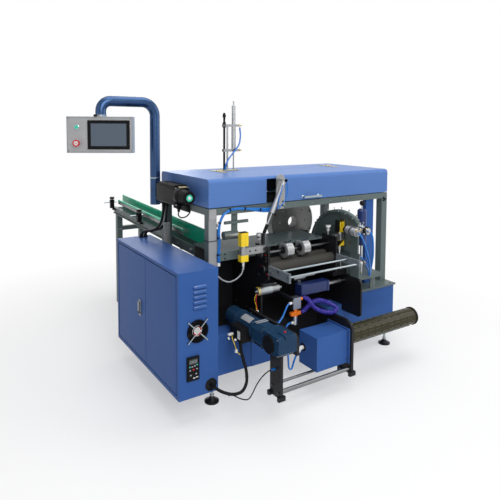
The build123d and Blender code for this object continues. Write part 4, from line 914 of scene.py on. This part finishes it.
TIES = (((332, 193, 790), UP), ((333, 193, 885), UP), ((338, 193, 968), (0.1, 0, 1)),
        ((404, 193, 1036), (1, 0, 0.1)), ((500, 192, 1036), (1, 0, -0.1)), ((600, 185, 1023), (1, 0, -0.1)))
ties = Shape()
for spot, way in TIES:
    ties.turned(spot, way, ((0, 10.5), (5, 10.5)), 14)
ties.done("hose_ties", black)
COIL_PITCH, COIL_RADIUS, COIL_HOSE = 9.5, 11.5, 3.1
COIL_ROUTE = ((806, 62, 415), (828, 62, 415), (848, 48, 440), (878, 38, 466), (920, 28, 474), (966, 18, 460),
              (1008, 6, 438), (1028, -14, 420), (1000, -26, 408), (952, -22, 410), (908, -8, 424),
              (872, 16, 448), (858, 42, 482), (840, 56, 497), (818, 56, 497))
path = smooth_line(COIL_ROUTE, 64)
whole = sum((b - a).length for a, b in zip(path, path[1:]))
side = (path[1] - path[0]).orthogonal().normalized()
coil = []
turned_by = 0.0
gone = 0.0
for before, here in zip(path, path[1:]):
    way = (here - before).normalized()
    side = (side - way * side.dot(way)).normalized()
    turned_by += (here - before).length / COIL_PITCH * 2 * math.pi
    gone += (here - before).length
    wide = COIL_RADIUS * min(1.0, (gone + 6) / 34, (whole - gone + 6) / 34)
    coil.append(here + (side * math.cos(turned_by) + way.cross(side) * math.sin(turned_by)) * wide)
spring = Shape().along(coil, COIL_HOSE, 6).done("coiled_air_hose", violet)
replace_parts(spring, "coiled_hose")

# Cables: a black sheathed bundle from the cabinet to the terminal box, ribbed conduits of the feed drive, and
# grey sensor leads, with white plugs and coloured wires at the free connector.
conduit = Finish("ribbed_conduit")
rings = conduit.node("ShaderNodeTexWave", {"bands_direction": "Z"}, 0, Vector=conduit.place(), Scale=60.0)
conduit.set(Base_Color=(0.012, 0.012, 0.013), Roughness=0.4, Specular_IOR_Level=0.15,
            Normal=conduit.bump(rings, 0.8, 0.001))
dress(conduit.material, "cables")
tint("cables", key_grey,
     lambda p: p.y < 150 and p.z > 400 and p.x < 460 and not (340 < p.x < 364 and p.y < 0))
tint("cables", cap_black, lambda p: p.y < 6 and p.z < 380)
SLEEVES = (((236, -84, 152), (0.8, -0.5, -0.3)), ((348, -78, 208), (0.2, 0.4, 1)),
           ((353, -40, 285), (0, 0.4, 1)))
sleeve = Shape()
for spot, way in SLEEVES:
    sleeve.turned(spot, way, ((0, 9.2), (6, 9.2)), 14)
sleeve.turned((352, -10, 356), UP, ((0, 11), (14, 12)), 6)
sleeve.done("cable_ties", rubber)
yellow_wires = Shape().bent(((322, 30, 402), (316, 14, 384), (320, 0, 362), (326, -8, 334), (336, -14, 312),
                             (352, -22, 300)), 1.8)
yellow_wires.done("yellow_wires", yellow)
black_wires = Shape().bent(((316, 34, 402), (322, 16, 380), (324, 2, 360), (332, -4, 330), (342, -16, 306),
                            (354, -24, 292)), 1.8)
black_wires.done("black_wires", black)
plugs = Shape().slab((300, 24, 400), (330, 38, 409), 0.2).slab((292, 10, 386), (300, 30, 392), -0.3)
plugs.slab((318, -6, 378), (328, 2, 388)).slab((320, -14, 316), (332, -4, 332), 0.3)
plugs.done("wire_plugs", white_plastic, bevel=0.8)
air_plug = Shape().turned((462, -130, 236), RIGHT, ((0, 4), (10, 5), (12, 5), (12, 6.5), (28, 6.5)), 12)
air_plug.done("air_plug", hose_blue)
Shape().turned((476, -130, 236), RIGHT, ((0, 6), (14, 6)), 12).done("plug_nut", ground)

# Conveyor: grey-green channel rails on square legs, green rubber belt, polyethylene guards carried by slotted
# aluminium, and clamps with black knobs on chromed rods.
guard_green = moulded("guard_green", (0.002, 0.52, 0.29), 0.30, 200.0, 0.05)
belt_green = moulded("belt_rubber", (0.030, 0.075, 0.062), 0.55, 1500.0, 0.4)
CONVEYOR_FRONT, CONVEYOR_Z = 484, 775
CONVEYOR_TILT = math.radians(1.5)
LEFT_RAIL, RIGHT_RAIL = 330, 573


def sloped(x, along, z):
    """A place on the sloping conveyor, from its level place."""
    rise = z - CONVEYOR_Z
    return (x, CONVEYOR_FRONT + along * math.cos(CONVEYOR_TILT) - rise * math.sin(CONVEYOR_TILT),
            CONVEYOR_Z + along * math.sin(CONVEYOR_TILT) + rise * math.cos(CONVEYOR_TILT))


dress(frame_grey, "conveyor_frame", "conveyor_legs")
dress(belt_green, "conveyor_belt")
dress(guard_green, "conveyor_guards")
dress(black, "guard_clamps")
tint("guard_clamps", aluminium, lambda p: 343 < p.x < 353)
clamp_rods = [sloped(0, along, z) for along, z in ((860, 819), (1496, 819), (160, 809), (950, 809))]
tint("guard_clamps", chrome, lambda p: any(math.hypot(p.y - y, p.z - z) < 5.5 for _, y, z in clamp_rods))
STRIP_LOW, STRIP_TOP = 841, 877
top_strip = Shape()
corners = [top_strip.mesh.verts.new(sloped(x, along, z))
           for along in (8, 1496) for x in (396.5, 403.5) for z in (STRIP_LOW, STRIP_TOP)]
for quad in ((0, 1, 3, 2), (4, 6, 7, 5), (0, 4, 5, 1), (2, 3, 7, 6), (1, 5, 7, 3), (0, 2, 6, 4)):
    top_strip.mesh.faces.new([corners[k] for k in quad])
top_strip.done("tall_guard_strip", guard_green, bevel=1.0)
carrier = Shape()
for z in (812, 826):
    carrier.along([Vector(sloped(342.6, 210, z)), Vector(sloped(342.6, 1450, z))], 1.4, 6)
carrier.done("carrier_slots", black)
rail_bolts = Shape()
for along in range(230, 1500, 210):
    rail_bolts.hexes((sloped(LEFT_RAIL, along, 748),), LEFT, 6)
    rail_bolts.hexes((sloped(RIGHT_RAIL, along, 748),), RIGHT, 6)
rail_bolts.hexes([(x, 1919, 634) for x in (345, 360, 543, 558)], FRONT, 5)
rail_bolts.hexes([sloped(LEFT_RAIL, along, 751) for along in (40, 1486)], LEFT, 9)
rail_bolts.hexes([sloped(RIGHT_RAIL, along, 751) for along in (40, 1486)], RIGHT, 9)
rail_bolts.done("conveyor_bolts", ground)
knobs = Shape()
for x, along, z in ((305, 860, 839), (305, 1496, 839), (557, 160, 862), (557, 950, 862)):
    here = Vector(sloped(x, along, z))
    for step in range(6):
        angle = step * math.pi / 3
        knobs.turned(here + Vector((16 * math.cos(angle), 16 * math.sin(angle), -14)), UP,
                     ((0, 5), (14, 5), (16, 3)), 8)
knobs.done("knob_lobes", black)

# Feed drive: black finned motor housing on the frame's left end, with a head of turned rings, a green lamp
# button, and a zinc-plated cover plate on top.
lamp_green = moulded("lamp_green", (0.02, 0.62, 0.40), 0.18, 300.0, 0.02, 0.6)
FEED_X, FEED_Z = 205, 1104
FEED_SOCKETS = ((236, 664), (206, 650))
SOCKET_Z = 1045
dress(cap_black, "feed_drive")
tint("feed_drive", lamp_green, lambda p: p.y < 293)
lamp_centre = Shape().turned((FEED_X, 292, FEED_Z), FRONT, ((0, 10), (3, 9), (4, 6)), 24)
lamp_centre.done("lamp_centre", white_plastic)
ribs = Shape()
for z in range(1056, 1148, 10):
    ribs.slab((173, 432, z), (176, 684, z + 5))
for y in range(440, 690, 24):
    ribs.slab((182, y, 1159), (258, y + 10, 1163))
ribs.done("drive_fins", cap_black, bevel=0.8)
heads = Shape()
for y, radius in ((312, 41), (330, 41), (348, 41), (372, 44)):
    heads.turned((FEED_X, y, FEED_Z), BACK,
                 ((0, radius - 3), (2, radius), (8, radius), (10, radius - 3)), 36)
heads.done("head_rings", cap_black)
Shape().slab((196, 396, 1150), (248, 424, 1156)).done("drive_top_plate", zinc, bevel=0.8)
drive_screws = Shape().screws([(x, 420, z) for x in (182, 258) for z in (1052, 1146)], FRONT, 5)
drive_screws.done("drive_screws", ground)
sockets = Shape()
for x, y in FEED_SOCKETS:
    sockets.turned((x, y, SOCKET_Z), DOWN, ((0, 14), (16, 14), (18, 11), (34, 11)), 16)
sockets.turned((236, 500, SOCKET_Z), DOWN, ((0, 15), (30, 15), (32, 9), (48, 8)), 16)
sockets.done("drive_sockets", black)
loop = Shape().bent(((236, 500, 1000), (232, 496, 976), (248, 488, 962), (276, 480, 968), (296, 474, 992),
                     (296, 472, 1018), (276, 470, 1034)), 4)
loop.done("drive_loop", rubber)
gland_nuts = Shape()
for x in (172, 144):
    gland_nuts.turned((x, 872, 784), UP, ((0, 15), (8, 15)), 6)
    gland_nuts.turned((x, 872, 792), UP, ((0, 12), (12, 10)), 16)
gland_nuts.done("conduit_glands", black)
bracket_screws = Shape().screws(((236, 690, 884), (236, 690, 830), (254, 690, 884)), FRONT, 3.6)
bracket_screws.done("bracket_screws", nickel)

# Operator panel: bent tube in blue enamel on a fixed socket, sheet box with a brushed front, glass screen in
# a black bezel, a green button and a red mushroom button.
arm_blue = bright("arm_blue", (0.034, 0.080, 0.190), 0.16, (3, 3, 3), 0.75, 0.03)
box_blue = enamel("box_blue", (0.260, 0.330, 0.430), (0.240, 0.310, 0.410), (0.280, 0.350, 0.450), 0.34)
front_metal = bright("brushed_front", (0.43, 0.43, 0.44), 0.42, (30, 30, 900), 0.5)
PANEL_X, PANEL_Y = -128, 800
PANEL_SPIN = math.radians(-30)
BUTTON_ACROSS, GREEN_UP, RED_UP = -132, 1494, 1399
outward = Matrix.Rotation(PANEL_SPIN, 3, "Z") @ Vector(FRONT)


def on_panel(across, out, up):
    """A place on the panel: across its front, out from its middle plane, up from the floor."""
    spot = Matrix.Rotation(PANEL_SPIN, 3, "Z") @ Vector((across, -out, 0))
    return (PANEL_X + spot.x, PANEL_Y + spot.y, up)


def panel_slab(shape, x0, x1, out0, out1, z0, z1):
    """A block on the panel's front, turned with the panel."""
    return shape.slab((PANEL_X + x0, PANEL_Y - out0, z0), (PANEL_X + x1, PANEL_Y - out1, z1), PANEL_SPIN,
                      (PANEL_X, PANEL_Y, 0))


dress(arm_blue, "panel_arm", "pole_socket")
dress(box_blue, "panel_housing")
dress(black, "panel_screen")
dress(red, "panel_buttons")
housing = nodes["panel_housing"].data
housing.materials.append(front_metal)
for face in housing.polygons:
    if face.normal.dot(outward) > 0.9:
        face.material_index = 1
tint("panel_buttons", lamp_green, lambda p: p.z > 1460)
screen = Finish("screen_glass")
# The screen's own dark blue-grey, drifting to a lighter blue across the glass as a painted reflection.
shine = screen.mix(screen.noise(5.0, 2.0).clamped(), (0.040, 0.065, 0.105), (0.062, 0.092, 0.135))
screen.set(Base_Color=shine, Roughness=0.12, Coat_Weight=0.6)
panel_slab(Shape(), -51, 156, 37.2, 36.2, 1382, 1515).done("screen_glass", screen.material, "panel_body")
EDGES = ((-190, 190, 1343, 1349), (-190, 190, 1548, 1554), (-192, -187, 1343, 1554), (187, 192, 1343, 1554))
edge = Shape()
for x0, x1, z0, z1 in EDGES:
    panel_slab(edge, x0, x1, 34, 32.4, z0, z1)
edge.done("panel_edge", key_grey, "panel_body", bevel=0.6)
corner_screws = Shape()
for across in (-182, 182):
    for up in (1354, 1543):
        corner_screws.turned(on_panel(across, 32.5, up), outward, ((0, 3.2), (1.6, 2.6)), 10)
corner_screws.done("panel_screws", nickel, "panel_body")
button_rings = Shape()
button_rings.turned(on_panel(BUTTON_ACROSS, 32.5, GREEN_UP), outward,
                    ((0, 15), (3, 15), (5, 12), (5, 11.2)), 28)
button_rings.turned(on_panel(BUTTON_ACROSS, 32.5, RED_UP), outward, ((0, 21), (2, 21), (3, 16)), 28)
button_rings.done("button_collars", chrome, "panel_body")
mushroom = Shape().turned(on_panel(BUTTON_ACROSS, 58.5, RED_UP), outward, ((0, 13), (0.8, 13)), 24)
mushroom.done("mushroom_disc", white_plastic, "panel_body")
marks = Shape()
for step in range(3):
    angle = math.radians(90 + step * 120)
    spot = on_panel(BUTTON_ACROSS + 7 * math.cos(angle), 59.2, RED_UP + 7 * math.sin(angle))
    marks.turned(spot, outward, ((0, 4.4), (0.7, 4.4)), 3)
marks.turned(on_panel(BUTTON_ACROSS, 59.2, RED_UP), outward, ((0, 2.4), (0.8, 2.4)), 12)
marks.done("mushroom_marks", red, "panel_body")
Shape().turned((212, 800, 1172), UP, ((0, 33.5), (6, 33.5)), 36).done("pole_joint_ring", chrome)
pole_screws = Shape().screws(((212, 767, 1120), (212, 767, 1060)), FRONT, 5)
pole_screws.screws(((182, 788, 1100),), (-1, -0.4, 0), 5)
pole_screws.done("pole_set_screws", nickel)
swivel_lock = Shape().turned((-158, 780, 1562), (-0.8, -0.6, 0), ((0, 4), (10, 4), (12, 7), (22, 7)), 14)
swivel_lock.done("swivel_lock", black, "panel_body")
